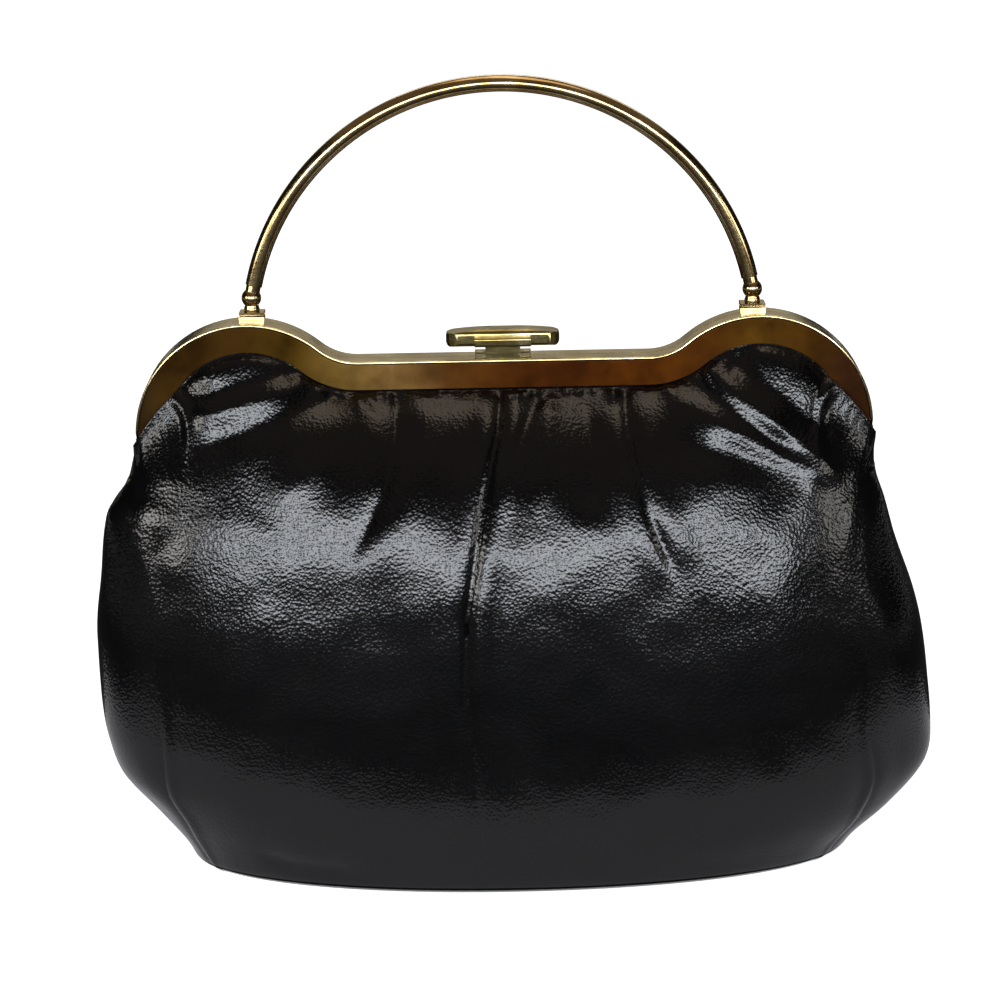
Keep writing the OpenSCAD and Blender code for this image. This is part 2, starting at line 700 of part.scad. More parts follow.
module front_left_panel() mirror([1, 0, 0]) front_right_panel();

module rear_right_panel() to_rear() front_right_panel();

module rear_left_panel() to_rear() front_left_panel();

module right_gusset() leather_wall(-seams, seams, gusset_columns);

module left_gusset() mirror([1, 0, 0]) right_gusset();

// Flat outline inside the soft bottom edge
module base_outline(inset)
    polygon([for (t = [0:ring_step:359])
        let (p = ring_point(t, base_w / 2 - inset, base_d / 2 - inset, 0)) [p[0], p[1]]]);

module base_leather() color("black")
    linear_extrude(leather_t) base_outline(edge_r + seam_gap / 2);

module base_board() color("burlywood")
    translate([0, 0, leather_t + 0.1]) linear_extrude(board_t) base_outline(edge_r + 1);

// Fabric cup inside the pouch
module lining() {
    floor_z = leather_t + board_t + 0.4;
    skin = leather_t + layer_gap;
    // The top edge leans inwards, clear of the leather's seams
    edge_lean = 0.45;
    list = [for (t = [0:ring_step:359]) t];
    function ring(z, inset) =
        [for (t = list) ring_point(t, half_w(z) - inset, half_d(z) - inset, z)];
    function walls(inset) = concat(
        [for (row = [1:wall_rows - 1]) ring(row_z(row / wall_rows), inset)],
        [ring(pouch_top_z - lining_drop, inset + edge_lean)]);
    outer = concat([ring(floor_z, edge_r)], walls(skin));
    inner = concat([ring(floor_z + lining_t, edge_r + lining_t)], walls(skin + lining_t));
    color("darkslategray") cup_shell(outer, inner);
}

// Gathered leather or lining between the channel and the hinge line, at a depth inside
module mouth_sheet(depth, thick) {
    rows = [0:mouth_rows + 1];
    list = [for (c = [0:mouth_columns]) 1 - 2 * c / mouth_columns];
    outer = [for (row = rows) [for (s = list) mouth_point(row, s, depth)]];
    inner = [for (row = rows) [for (s = list) mouth_point(row, s, depth + thick)]];
    grid_shell(outer, inner);
}

module front_mouth_leather() color("dimgray") mouth_sheet(0, mouth_t);

module front_mouth_lining() color("darkslategray")
    mouth_sheet(mouth_t + layer_gap, lining_t);

module rear_mouth_leather() to_rear() front_mouth_leather();

module rear_mouth_lining() to_rear() front_mouth_lining();

front_left_panel();
front_right_panel();
rear_left_panel();
rear_right_panel();
left_gusset();
right_gusset();
base_leather();
base_board();
lining();
left_frame_pin();
right_frame_pin();
frame_washers();
front_frame();
front_cover_band();
front_lock_catch();
front_lock_rivets();
front_packing_cord();
front_mouth_leather();
front_mouth_lining();
rear_frame();
rear_cover_band();
rear_lock_bar();
rear_lock_rivets();
rear_packing_cord();
rear_mouth_leather();
rear_mouth_lining();
left_handle_bracket();
right_handle_bracket();
handle_bracket_rivets();
handle_hinge_pins();
handle_tube();
left_handle_leaf();
right_handle_leaf();
left_handle_ball();
right_handle_ball();
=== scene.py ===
import math
import bmesh
import bpy
import numpy as np
from mathutils import Matrix, Vector, noise


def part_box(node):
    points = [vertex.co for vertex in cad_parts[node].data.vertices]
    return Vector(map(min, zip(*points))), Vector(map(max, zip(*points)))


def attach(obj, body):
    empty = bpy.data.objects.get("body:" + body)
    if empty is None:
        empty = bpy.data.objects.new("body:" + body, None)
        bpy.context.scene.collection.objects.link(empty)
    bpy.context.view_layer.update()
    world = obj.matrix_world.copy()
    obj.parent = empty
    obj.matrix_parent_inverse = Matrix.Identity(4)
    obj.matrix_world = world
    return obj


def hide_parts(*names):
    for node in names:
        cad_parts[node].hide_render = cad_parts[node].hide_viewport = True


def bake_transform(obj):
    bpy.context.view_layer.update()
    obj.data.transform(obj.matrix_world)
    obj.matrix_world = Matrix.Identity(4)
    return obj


# Kiss lock frame purse: soft leather drawn into a round-shouldered metal frame.
# Sizes in the dictionaries are millimetres and degrees, meshes are metres.
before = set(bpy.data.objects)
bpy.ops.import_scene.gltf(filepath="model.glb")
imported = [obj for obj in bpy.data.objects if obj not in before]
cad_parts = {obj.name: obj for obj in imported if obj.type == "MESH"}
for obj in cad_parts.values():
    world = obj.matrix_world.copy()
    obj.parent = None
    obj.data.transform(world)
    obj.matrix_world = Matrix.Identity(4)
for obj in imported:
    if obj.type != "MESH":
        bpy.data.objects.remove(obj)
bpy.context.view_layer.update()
mm = 0.001
print("frame loaded")

# Camera first, at the photograph's viewing angle
cameraSet = {"place": (0.0, -1074.8, 415.2), "pitch": 14.864, "yaw": -0.105, "roll": 1.1,
             "focalPixels": 3192.0, "imagePixels": 1000.0, "sensorWidth": 36.0}


def buildCamera(cfg):
    pitch, yaw, roll = (math.radians(cfg[key]) for key in ("pitch", "yaw", "roll"))
    ahead = Vector((math.sin(yaw) * math.cos(pitch), math.cos(yaw) * math.cos(pitch), -math.sin(pitch)))
    level = Vector((math.cos(yaw), -math.sin(yaw), 0.0))
    above = level.cross(ahead)
    right = level * math.cos(roll) - above * math.sin(roll)
    up = above * math.cos(roll) + level * math.sin(roll)
    data = bpy.data.cameras.new("photoCamera")
    data.sensor_width = cfg["sensorWidth"]
    data.lens = cfg["focalPixels"] * cfg["sensorWidth"] / cfg["imagePixels"]
    data.clip_end = 50.0
    camera = bpy.data.objects.new("photoCamera", data)
    camera.matrix_world = Matrix.Translation(Vector(cfg["place"]) * mm) @ Matrix(
        (right, up, -ahead)).transposed().to_4x4()
    bpy.context.scene.collection.objects.link(camera)
    bpy.context.scene.camera = camera


buildCamera(cameraSet)

# Light: a long low soft box in front, a warm one overhead, weak ones at the sides and behind
lampSet = [
    {"name": "frontSoftBox", "place": (-40, -1600, 520), "aim": (0, 0, 120), "size": (2200, 230),
     "power": 18.0, "colour": (0.87, 0.93, 1.0)},
    {"name": "frontGlow", "place": (-40, -1620, 540), "aim": (0, 0, 120), "size": (2300, 520),
     "power": 15.0, "colour": (0.93, 0.94, 0.97)},
    {"name": "topSoftBox", "place": (60, 60, 1150), "aim": (0, 0, 150), "size": (700, 400),
     "power": 1.4, "colour": (1.0, 0.82, 0.64)},
    {"name": "leftSoftBox", "place": (-1420, -950, 520), "aim": (0, 0, 120), "size": (650, 320),
     "power": 6.0, "colour": (1.0, 0.97, 0.92)},
    {"name": "rightSoftBox", "place": (1420, -950, 500), "aim": (0, 0, 120), "size": (500, 300),
     "power": 2.5, "colour": (1.0, 0.96, 0.9)},
    {"name": "rearSoftBox", "place": (150, 1400, 1250), "aim": (0, 0, 120), "size": (1500, 300),
     "power": 5.0, "colour": (0.94, 0.96, 1.0)},
]


def buildLamp(cfg):
    data = bpy.data.lights.new(cfg["name"], "AREA")
    data.shape = "RECTANGLE"
    data.size, data.size_y = (side * mm for side in cfg["size"])
    data.energy = cfg["power"]
    data.color = cfg["colour"]
    lamp = bpy.data.objects.new(cfg["name"], data)
    place = Vector(cfg["place"]) * mm
    lamp.matrix_world = Matrix.Translation(place) @ (
        Vector(cfg["aim"]) * mm - place).to_track_quat("-Z", "Y").to_matrix().to_4x4()
    lamp.visible_camera = False
    bpy.context.scene.collection.objects.link(lamp)


for cfg in lampSet:
    buildLamp(cfg)


# Node trees
def addNode(tree, kind, values=(), **settings):
    made = tree.nodes.new(kind)
    for key, value in settings.items():
        setattr(made, key, value)
    for key, value in dict(values).items():
        if isinstance(value, bpy.types.NodeSocket):
            tree.links.new(value, made.inputs[key])
        else:
            made.inputs[key].default_value = value
    return made


def mathNode(tree, operation, *values):
    return addNode(tree, "ShaderNodeMath", dict(enumerate(values)), operation=operation).outputs[0]


def rampNode(tree, factor, stops):
    made = addNode(tree, "ShaderNodeValToRGB", {"Fac": factor})
    ramp = made.color_ramp
    while len(ramp.elements) < len(stops):
        ramp.elements.new(0.5)
    for element, (place, colour) in zip(ramp.elements, stops):
        element.position = place
        element.color = (*colour, 1.0)
    return made.outputs["Color"]


def rangeNode(tree, value, low, high, newLow, newHigh):
    return addNode(tree, "ShaderNodeMapRange", {
        "Value": value, "From Min": low, "From Max": high,
        "To Min": newLow, "To Max": newHigh}).outputs["Result"]


def noiseNode(tree, vector, scale, detail=3.0, roughness=0.5, offset=(0.0, 0.0, 0.0),
              stretch=(1.0, 1.0, 1.0)):
    moved = addNode(tree, "ShaderNodeMapping", {"Vector": vector, "Location": offset, "Scale": stretch})
    return addNode(tree, "ShaderNodeTexNoise", {
        "Vector": moved.outputs[0], "Scale": scale, "Detail": detail, "Roughness": roughness}).outputs["Fac"]


def newMaterial(name):
    material = bpy.data.materials.new(name)
    material.use_nodes = True
    tree = material.node_tree
    tree.nodes.clear()
    shader = addNode(tree, "ShaderNodeBsdfPrincipled")
    output = addNode(tree, "ShaderNodeOutputMaterial")
    tree.links.new(shader.outputs[0], output.inputs["Surface"])
    return material, tree, shader


def setShader(tree, shader, **values):
    for key, value in values.items():
        name = key.replace("_", " ")
        if isinstance(value, bpy.types.NodeSocket):
            tree.links.new(value, shader.inputs[name])
        else:
            shader.inputs[name].default_value = value


def bumpNode(tree, height, strength, distance, under=None):
    values = {"Height": height, "Strength": strength, "Distance": distance}
    if under is not None:
        values["Normal"] = under
    return addNode(tree, "ShaderNodeBump", values).outputs["Normal"]


def leatherMaterial(name, cfg):
    material, tree, shader = newMaterial(name)
    uv = addNode(tree, "ShaderNodeUVMap", uv_map="hide").outputs[0]
    broad = noiseNode(tree, uv, cfg["broadScale"], 4.0, 0.55)
    tone = rampNode(tree, broad, [(0.3, cfg["dark"]), (0.7, cfg["light"])])
    cells = addNode(tree, "ShaderNodeTexVoronoi", {
        "Vector": uv, "Scale": cfg["grainScale"], "Smoothness": cfg["smoothness"]},
        feature="SMOOTH_F1").outputs["Distance"]
    pores = noiseNode(tree, uv, cfg["poreScale"], 3.0, 0.6)
    creases = noiseNode(tree, uv, cfg["creaseScale"], 6.0, 0.6, stretch=(1.0, 0.35, 1.0))
    grain = mathNode(tree, "ADD", cells, mathNode(tree, "MULTIPLY", pores, cfg["poreShare"]))
    soft = bumpNode(tree, creases, cfg["creaseBump"], cfg["creaseDepth"] * mm)
    normal = bumpNode(tree, grain, cfg["grainBump"], cfg["grainDepth"] * mm, soft)
    sheen = mathNode(tree, "ADD", rangeNode(tree, broad, 0.3, 0.7, cfg["gloss"][0], cfg["gloss"][1]),
                     mathNode(tree, "MULTIPLY", pores, cfg["poreGloss"]))
    setShader(tree, shader, Base_Color=tone, Roughness=sheen, Normal=normal)
    shader.inputs["Specular IOR Level"].default_value = cfg["specular"]
    return material


leatherSet = {
    "dark": (0.0010, 0.0010, 0.0012), "light": (0.0022, 0.0021, 0.0024), "broadScale": 30.0,
    "grainScale": 1000.0, "smoothness": 0.5, "poreScale": 2000.0, "poreShare": 0.3, "poreGloss": 0.03,
    "creaseScale": 90.0, "creaseBump": 0.05, "creaseDepth": 1.2, "grainBump": 1.0, "grainDepth": 0.09,
    "gloss": (0.10, 0.15), "specular": 0.42}
blackLeather = leatherMaterial("blackLeather", leatherSet)


def goldMaterial(name, cfg):
    material, tree, shader = newMaterial(name)
    place = addNode(tree, "ShaderNodeTexCoord").outputs["Object"]
    cloud = noiseNode(tree, place, cfg["cloudScale"], 4.0, 0.6)
    tone = rampNode(tree, cloud, [(0.3, cfg["dark"]), (0.52, cfg["middle"]), (0.72, cfg["light"])])
    scratch = noiseNode(tree, place, 900.0, 3.0, 0.7, stretch=(0.12, 1.0, 1.0))
    specks = noiseNode(tree, place, 2600.0, 2.0, 0.6)
    worn = rangeNode(tree, scratch, 0.35, 0.75, cfg["gloss"][0], cfg["gloss"][1])
    dust = mathNode(tree, "MULTIPLY", rangeNode(tree, specks, 0.68, 0.8, 0.0, 1.0), 0.25)
    normal = bumpNode(tree, scratch, cfg["scratchBump"], 0.00005)
    rough = mathNode(tree, "ADD", worn, dust)
    setShader(tree, shader, Base_Color=tone, Metallic=1.0, Roughness=rough, Normal=normal)
    return material


polishedGold = goldMaterial("polishedGold", {
    "dark": (0.34, 0.24, 0.09), "middle": (0.56, 0.43, 0.21), "light": (0.74, 0.62, 0.38),
    "cloudScale": 60.0, "gloss": (0.12, 0.24), "scratchBump": 0.12})
handleGold = goldMaterial("handleGold", {
    "dark": (0.30, 0.19, 0.07), "middle": (0.50, 0.36, 0.17), "light": (0.68, 0.53, 0.30),
    "cloudScale": 60.0, "gloss": (0.12, 0.24), "scratchBump": 0.12})
lockGold = goldMaterial("lockGold", {
    "dark": (0.21, 0.155, 0.05), "middle": (0.36, 0.29, 0.12), "light": (0.52, 0.45, 0.24),
    "cloudScale": 90.0, "gloss": (0.16, 0.30), "scratchBump": 0.16})
pinBrass = goldMaterial("pinBrass", {
    "dark": (0.42, 0.30, 0.14), "middle": (0.62, 0.46, 0.23), "light": (0.75, 0.6, 0.33),
    "cloudScale": 200.0, "gloss": (0.22, 0.38), "scratchBump": 0.2})
washerSteel = goldMaterial("washerSteel", {
    "dark": (0.40, 0.39, 0.37), "middle": (0.55, 0.54, 0.52), "light": (0.66, 0.65, 0.63),
    "cloudScale": 200.0, "gloss": (0.25, 0.4), "scratchBump": 0.2})


def bandMaterial(name, cfg):
    material, tree, shader = newMaterial(name)
    place = addNode(tree, "ShaderNodeTexCoord").outputs["Object"]
    across = addNode(tree, "ShaderNodeSeparateXYZ", {"Vector": place}).outputs["X"]
    clouds = noiseNode(tree, place, cfg["cloudScale"], 3.0, 0.5, cfg["offset"], (1.0, 0.2, 2.2))
    mottle = noiseNode(tree, place, cfg["mottleScale"], 4.0, 0.6)
    drift = mathNode(tree, "MULTIPLY", mathNode(tree, "SUBTRACT", clouds, 0.5), cfg["drift"])
    half = cfg["halfWidth"] * mm
    spot = rangeNode(tree, mathNode(tree, "ADD", across, drift), -half, half, 0.0, 1.0)
    # Colour along the band: the lacquer's amber, with painted reflection in its lighter and darker stretches
    broad = rampNode(tree, spot, [
        ((x + cfg["halfWidth"]) / cfg["halfWidth"] / 2, tone) for x, tone in cfg["lacquerAndReflectionTones"]])
    shade = rampNode(tree, mottle, cfg["shade"])
    mixed = tree.nodes.new("ShaderNodeMix")
    mixed.data_type, mixed.blend_type = "RGBA", "MULTIPLY"
    colourSockets = [socket for socket in mixed.inputs if socket.type == "RGBA"]
    mixed.inputs[0].default_value = 1.0
    tree.links.new(broad, colourSockets[0])
    tree.links.new(shade, colourSockets[1])
    specks = noiseNode(tree, place, 3200.0, 2.0, 0.6)
    dust = mathNode(tree, "MULTIPLY", rangeNode(tree, specks, 0.7, 0.8, 0.0, 1.0), 0.3)
    gloss = rangeNode(tree, mottle, 0.3, 0.7, cfg["gloss"][0], cfg["gloss"][1])
    result = [socket for socket in mixed.outputs if socket.type == "RGBA"][0]
    setShader(tree, shader, Base_Color=result, Metallic=cfg["metal"], Roughness=mathNode(tree, "ADD", gloss, dust))
    shader.inputs["Specular IOR Level"].default_value = cfg["specular"]
    return material


# Band colour from the left end of the frame to the right one: the amber brown is the lacquer's own, the lighter and
# darker stretches along it are painted reflection of the room
amberBand = bandMaterial("amberBand", {
    "cloudScale": 14.0, "mottleScale": 45.0, "offset": (0.31, 0.0, 0.12), "drift": 0.02,
    "gloss": (0.12, 0.2), "metal": 0.3, "specular": 0.2, "halfWidth": 127.0,
    "shade": [(0.38, (0.55, 0.52, 0.5)), (0.5, (0.92, 0.92, 0.92)), (0.63, (1.3, 1.35, 1.45))],
    "lacquerAndReflectionTones": [(-127, (0.02, 0.01, 0.003)), (-116, (0.046, 0.02, 0.0016)), (-93, (0.04, 0.016, 0.00095)),
              (-71, (0.055, 0.027, 0.0012)), (-55, (0.14, 0.078, 0.015)), (-36, (0.2, 0.11, 0.03)),
              (-19, (0.074, 0.026, 0.0038)), (-1, (0.073, 0.02, 0.0012)), (19, (0.068, 0.016, 0.0008)),
              (47, (0.096, 0.025, 0.0008)), (68, (0.076, 0.022, 0.0011)), (84, (0.097, 0.041, 0.0028)),
              (103, (0.057, 0.021, 0.00097)), (118, (0.03, 0.0096, 0.0022)), (127, (0.045, 0.014, 0.002))]})


def clothMaterial(name, cfg):
    material, tree, shader = newMaterial(name)
    uv = addNode(tree, "ShaderNodeUVMap", uv_map="hide").outputs[0]
    waves = [addNode(tree, "ShaderNodeTexWave", {"Vector": uv, "Scale": cfg["threads"]},
                     bands_direction=direction).outputs["Fac"] for direction in ("X", "Y")]
    weave = mathNode(tree, "MULTIPLY", *waves)
    tone = rampNode(tree, noiseNode(tree, uv, 40.0), [(0.3, cfg["dark"]), (0.7, cfg["light"])])
    setShader(tree, shader, Base_Color=tone, Roughness=0.85, Normal=bumpNode(tree, weave, 0.3, 0.0002))
    shader.inputs["Sheen Weight"].default_value = 0.1
    return material


darkLining = clothMaterial("darkLining", {
    "threads": 900.0, "dark": (0.022, 0.019, 0.021), "light": (0.04, 0.035, 0.038)})


def plainMaterial(name, cfg):
    material, tree, shader = newMaterial(name)
    place = addNode(tree, "ShaderNodeTexCoord").outputs["Object"]
    fibres = noiseNode(tree, place, cfg["scale"], 5.0, 0.65, stretch=cfg["stretch"])
    tone = rampNode(tree, fibres, [(0.3, cfg["dark"]), (0.7, cfg["light"])])
    setShader(tree, shader, Base_Color=tone, Roughness=cfg["rough"], Normal=bumpNode(tree, fibres, 0.3, 0.0002))
    return material


fibreBoard = plainMaterial("fibreBoard", {"scale": 300.0, "stretch": (1, 1, 1), "dark": (0.2, 0.15, 0.09),
                                          "light": (0.36, 0.28, 0.18), "rough": 0.9})
paperCord = plainMaterial("paperCord", {"scale": 700.0, "stretch": (0.3, 1, 1), "dark": (0.42, 0.34, 0.22),
                                        "light": (0.62, 0.54, 0.4), "rough": 0.9})
blackThread = plainMaterial("blackThread", {"scale": 2000.0, "stretch": (1, 1, 0.3), "dark": (0.015, 0.014, 0.014),
                                            "light": (0.05, 0.047, 0.045), "rough": 0.7})
print("materials built")

# Floor, white surroundings and the studio's dark cards, which only reflections see
stageSet = {"floorSize": 24.0, "floorColour": (0.82, 0.82, 0.82), "lift": 0.82, "dimWorld": 0.2}
wide, deep, low, split, high = 1800, 2200, 5, 400, 1900
cardSet = [
    {"name": "frontCard", "corners": [
        (-wide, -deep, low), (wide, -deep, low), (wide, -deep, high), (-wide, -deep, high)]},
    {"name": "leftCard", "corners": [
        (-wide, deep, low), (-wide, -deep, low), (-wide, -deep, high), (-wide, deep, high)]},
    {"name": "rightCard", "corners": [
        (wide, -deep, low), (wide, deep, low), (wide, deep, high), (wide, -deep, high)]},
    {"name": "lowRearCard", "corners": [
        (wide, deep, low), (-wide, deep, low), (-wide, deep, split), (wide, deep, split)]},
    {"name": "highRearCard", "glow": (0.36, 0.34, 0.27), "corners": [
        (wide, deep, split), (-wide, deep, split), (-wide, deep, high), (wide, deep, high)]},
    {"name": "ceilingCard", "glow": (0.15, 0.115, 0.085), "corners": [
        (-wide, -deep, high), (wide, -deep, high), (wide, deep, high), (-wide, deep, high)]},
    {"name": "floorCard", "corners": [(-1500, -1900, 2), (1500, -1900, 2), (1500, 1900, 2), (-1500, 1900, 2)]},
    {"name": "footCard", "corners": [(-300, -125, 3), (300, -125, 3), (300, 125, 3), (-300, 125, 3)],
     "glow": (0.55, 0.55, 0.58)},
]


def buildCard(cfg):
    mesh = bpy.data.meshes.new(cfg["name"])
    mesh.from_pydata((np.array(cfg["corners"]) * mm).tolist(), [], [(0, 1, 2, 3)])
    card = bpy.data.objects.new(cfg["name"], mesh)
    bpy.context.scene.collection.objects.link(card)
    card.visible_camera = card.visible_diffuse = card.visible_shadow = False
    material, tree, shader = newMaterial(cfg["name"])
    setShader(tree, shader, Base_Color=(0.01, 0.01, 0.01, 1.0), Roughness=0.9, Emission_Strength=1.0,
              Emission_Color=(*cfg.get("glow", (0.0, 0.0, 0.0)), 1.0))
    mesh.materials.append(material)


def seenDirectly(tree):
    # 1 for camera, mirror and see-through rays, so that only the background is lifted and not the light
    path = addNode(tree, "ShaderNodeLightPath").outputs
    mirrored = mathNode(tree, "MAXIMUM", path["Is Camera Ray"], path["Is Glossy Ray"])
    return mathNode(tree, "MAXIMUM", mirrored, path["Is Transmission Ray"])


def buildStage(cfg):
    half = cfg["floorSize"] / 2
    mesh = bpy.data.meshes.new("floor")
    mesh.from_pydata([(-half, -half, 0), (half, -half, 0), (half, half, 0), (-half, half, 0)], [], [(0, 1, 2, 3)])
    floor = bpy.data.objects.new("floor", mesh)
    bpy.context.scene.collection.objects.link(floor)
    material, tree, shader = newMaterial("paleFloor")
    setShader(tree, shader, Base_Color=(*cfg["floorColour"], 1.0), Roughness=0.9)
    shader.inputs["Specular IOR Level"].default_value = 0.1
    shader.inputs["Emission Color"].default_value = (1.0, 1.0, 1.0, 1.0)
    lifted = mathNode(tree, "MULTIPLY", seenDirectly(tree), cfg["lift"])
    tree.links.new(lifted, shader.inputs["Emission Strength"])
    mesh.materials.append(material)
    world = bpy.data.worlds.new("whiteStudio")
    bpy.context.scene.world = world
    world.use_nodes = True
    tree = world.node_tree
    tree.nodes.clear()
    strength = rangeNode(tree, seenDirectly(tree), 0.0, 1.0, cfg["dimWorld"], 1.0)
    sky = addNode(tree, "ShaderNodeBackground", {"Color": (1.0, 1.0, 1.0, 1.0), "Strength": strength})
    output = addNode(tree, "ShaderNodeOutputWorld")
    tree.links.new(sky.outputs[0], output.inputs["Surface"])


for cfg in cardSet:
    buildCard(cfg)
buildStage(stageSet)
bpy.context.scene.view_settings.view_transform = "Standard"
print("stage built")


# Mesh helpers
def smoothstep(value, low, high):
    t = np.clip((value - low) / (high - low), 0.0, 1.0)
    return t * t * (3.0 - 2.0 * t)


def hermite(t, start, leave, end, arrive):
    return ((2 * t ** 3 - 3 * t ** 2 + 1) * start + (t ** 3 - 2 * t ** 2 + t) * leave
            + (3 * t ** 2 - 2 * t ** 3) * end + (t ** 3 - t ** 2) * arrive)


def curveThrough(points):
    xs, ys = (np.array(column, float) for column in zip(*points))
    steps = np.diff(xs)
    slopes = np.diff(ys) / steps
    tangents = np.concatenate([[slopes[0]], (slopes[:-1] + slopes[1:]) / 2, [slopes[-1]]])
    flat = slopes[:-1] * slopes[1:] <= 0
    tangents[1:-1][flat] = 0.0

    def value(x):
        x = np.clip(np.asarray(x, float), xs[0], xs[-1])
        i = np.clip(np.searchsorted(xs, x, side="right") - 1, 0, len(steps) - 1)
        t = (x - xs[i]) / steps[i]
        return hermite(t, ys[i], steps[i] * tangents[i], ys[i + 1], steps[i] * tangents[i + 1])
    return value


def gridPiece(name, points, uv, material, inward=0.0, closed=False):
    rows, columns = points.shape[:2]
    wrap = columns if closed else columns - 1
    faces = []
    for r in range(rows - 1):
        for c in range(wrap):
            d = (c + 1) % columns
            faces.append((r * columns + c, r * columns + d, (r + 1) * columns + d, (r + 1) * columns + c))
    mesh = bpy.data.meshes.new(name)
    mesh.from_pydata((points.reshape(-1, 3) * mm).tolist(), [], faces)
    layer = mesh.uv_layers.new(name="hide")
    corners = np.empty(len(mesh.loops), int)
    mesh.loops.foreach_get("vertex_index", corners)
    layer.data.foreach_set("uv", (uv.reshape(-1, 2) * mm)[corners].astype(np.float32).ravel())
    mesh.materials.append(material)
    mesh.shade_smooth()
    piece = bpy.data.objects.new(name, mesh)
    bpy.context.scene.collection.objects.link(piece)
    if inward:
        solid = piece.modifiers.new("thickness", "SOLIDIFY")
        solid.thickness = inward * mm
        solid.offset = -1.0
        solid.use_even_offset = False
        makeReal(piece)
        piece.data.set_sharp_from_angle(angle=math.radians(80))
    return piece


def cleanMesh(mesh, gap, flatAngle=None):
    bm = bmesh.new()
    bm.from_mesh(mesh)
    bmesh.ops.remove_doubles(bm, verts=bm.verts, dist=gap * mm)
    if flatAngle:
        bmesh.ops.dissolve_limit(bm, verts=bm.verts, edges=bm.edges, angle_limit=math.radians(flatAngle))
    bm.to_mesh(mesh)
    bm.free()


def makeReal(piece):
    made = bpy.data.meshes.new_from_object(piece.evaluated_get(bpy.context.evaluated_depsgraph_get()))
    piece.modifiers.clear()
    piece.data = made
    return piece


def surfaceNormals(points):
    across = np.gradient(points, axis=1)
    up = np.gradient(points, axis=0)
    normal = np.cross(across, up)
    return normal / np.maximum(np.linalg.norm(normal, axis=2, keepdims=True), 1e-9)


# Leather bag: rings above the ground, then a gather into the frame
bagShape = {
    "leftEdge": [(0, 112), (8, 116.4), (20, 126), (34, 138.2), (47, 142.5), (60, 144), (85, 144.6),
                 (110, 142), (126, 140.2), (131, 139), (140, 133.2), (152, 128.4)],
    "rightEdge": [(0, 117), (8, 122.8), (20, 136), (34, 146.6), (46, 148.4), (60, 148.2), (85, 145.5),
                  (110, 139), (130, 133.4), (140, 129.8), (152, 128.4)],
    "depth": [(0, 43.5), (4, 44.6), (12, 46), (30, 47.8), (55, 48.2), (80, 47.4), (100, 45.2),
              (120, 41.4), (135, 37), (152, 30.6)],
    "power": [(0, 2.05), (20, 2.2), (60, 2.4), (152, 2.35)],
    "seamTurn": [(0, 20), (10, 22), (22, 28), (45, 35), (80, 36), (110, 33), (130, 25), (140, 18), (152, 9)],
    "ringTop": [(0, 112), (0.3, 117), (0.55, 130), (0.8, 141), (1, 142)],
    "bottomRadius": 4.0, "thickness": 1.1, "bottomRows": 6, "ringRows": 72, "neckRows": 50, "tuckRows": 4,
    "columns": 141, "neckPull": 0.95, "arriveLift": 0.45, "lobeLift": 1.3, "arrivePull": 0.9}
frameShape = {"halfWidth": 127.0, "shoulderRadius": 39.0, "dipRadius": 20.0, "middleRise": 29.5,
              "shoulderRise": 43.3, "hingeHeight": 152.0, "bandReach": 10.0}
mouthShape = {"edgeDrop": 10.4, "edgeDepth": 6.2, "tuckDrop": 3.4, "tuckDepth": 4.9, "coverAngle": 52.0,
              "liningAngle": 84.0,
              "lapFoot": (128.2, 152.6), "lapDepth": 8.7, "footDepth": 4.6, "lapArch": 1.2}

leftEdge, rightEdge, bagDepth, bagPower, seamTurn, ringTop = (
    curveThrough(bagShape[key]) for key in ("leftEdge", "rightEdge", "depth", "power", "seamTurn", "ringTop"))
middleZ = frameShape["hingeHeight"] + frameShape["middleRise"]
shoulderX = frameShape["halfWidth"] - frameShape["shoulderRadius"]
shoulderZ = frameShape["hingeHeight"] + frameShape["shoulderRise"] - frameShape["shoulderRadius"]
dipZ = middleZ + frameShape["dipRadius"]
reachSum = frameShape["shoulderRadius"] + frameShape["dipRadius"]
bend = math.acos((dipZ - shoulderZ) / reachSum)
dipX = shoulderX - reachSum * math.sin(bend)
dipRun = bend * (frameShape["dipRadius"] + frameShape["bandReach"])
lobeRadius = frameShape["shoulderRadius"] - frameShape["bandReach"]


def outlineRun(angle):
    return dipX + dipRun + (bend + math.radians(angle)) * lobeRadius


def outlinePoint(run, offset):
    # Frame outline for x > 0: run is counted along the band's lower edge, offset outwards of the rim
    run = np.asarray(run, float)
    inDip = np.clip((run - dipX) / (frameShape["dipRadius"] + frameShape["bandReach"]), 0.0, bend)
    lean = inDip - np.maximum(run - dipX - dipRun, 0.0) / lobeRadius
    dip, lobe = frameShape["dipRadius"] - offset, frameShape["shoulderRadius"] + offset
    onLobe = run > dipX + dipRun
    x = np.where(onLobe, shoulderX - lobe * np.sin(lean), np.minimum(run, dipX) + dip * np.sin(inDip))
    z = np.where(onLobe, shoulderZ + lobe * np.cos(lean), dipZ - dip * np.cos(inDip))
    return x, z, -np.sin(lean), np.cos(lean)


def ringPoint(share, z, side, inset):
    # Share of the way from the middle to the gusset seam, by length along the ring
    edge = np.where(side > 0, rightEdge(z), leftEdge(z)) - inset
    depth, power = bagDepth(z) - inset, bagPower(z)
    steps = np.linspace(0.0, 1.0, 41)
    turn = np.radians(90.0 - seamTurn(z))[:, None] * steps
    xs = edge[:, None] * np.sin(turn) ** (2.0 / power[:, None])
    ys = depth[:, None] * np.cos(turn) ** (2.0 / power[:, None])
    length = np.concatenate([np.zeros((len(z), 1)), np.cumsum(np.hypot(np.diff(xs), np.diff(ys)), axis=1)], axis=1)
    want = share * length[:, -1]
    x = np.array([np.interp(w, l, v) for w, l, v in zip(want, length, xs)])
    y = np.array([np.interp(w, l, v) for w, l, v in zip(want, length, ys)])
    return np.stack([side * x, -y, z], axis=1)


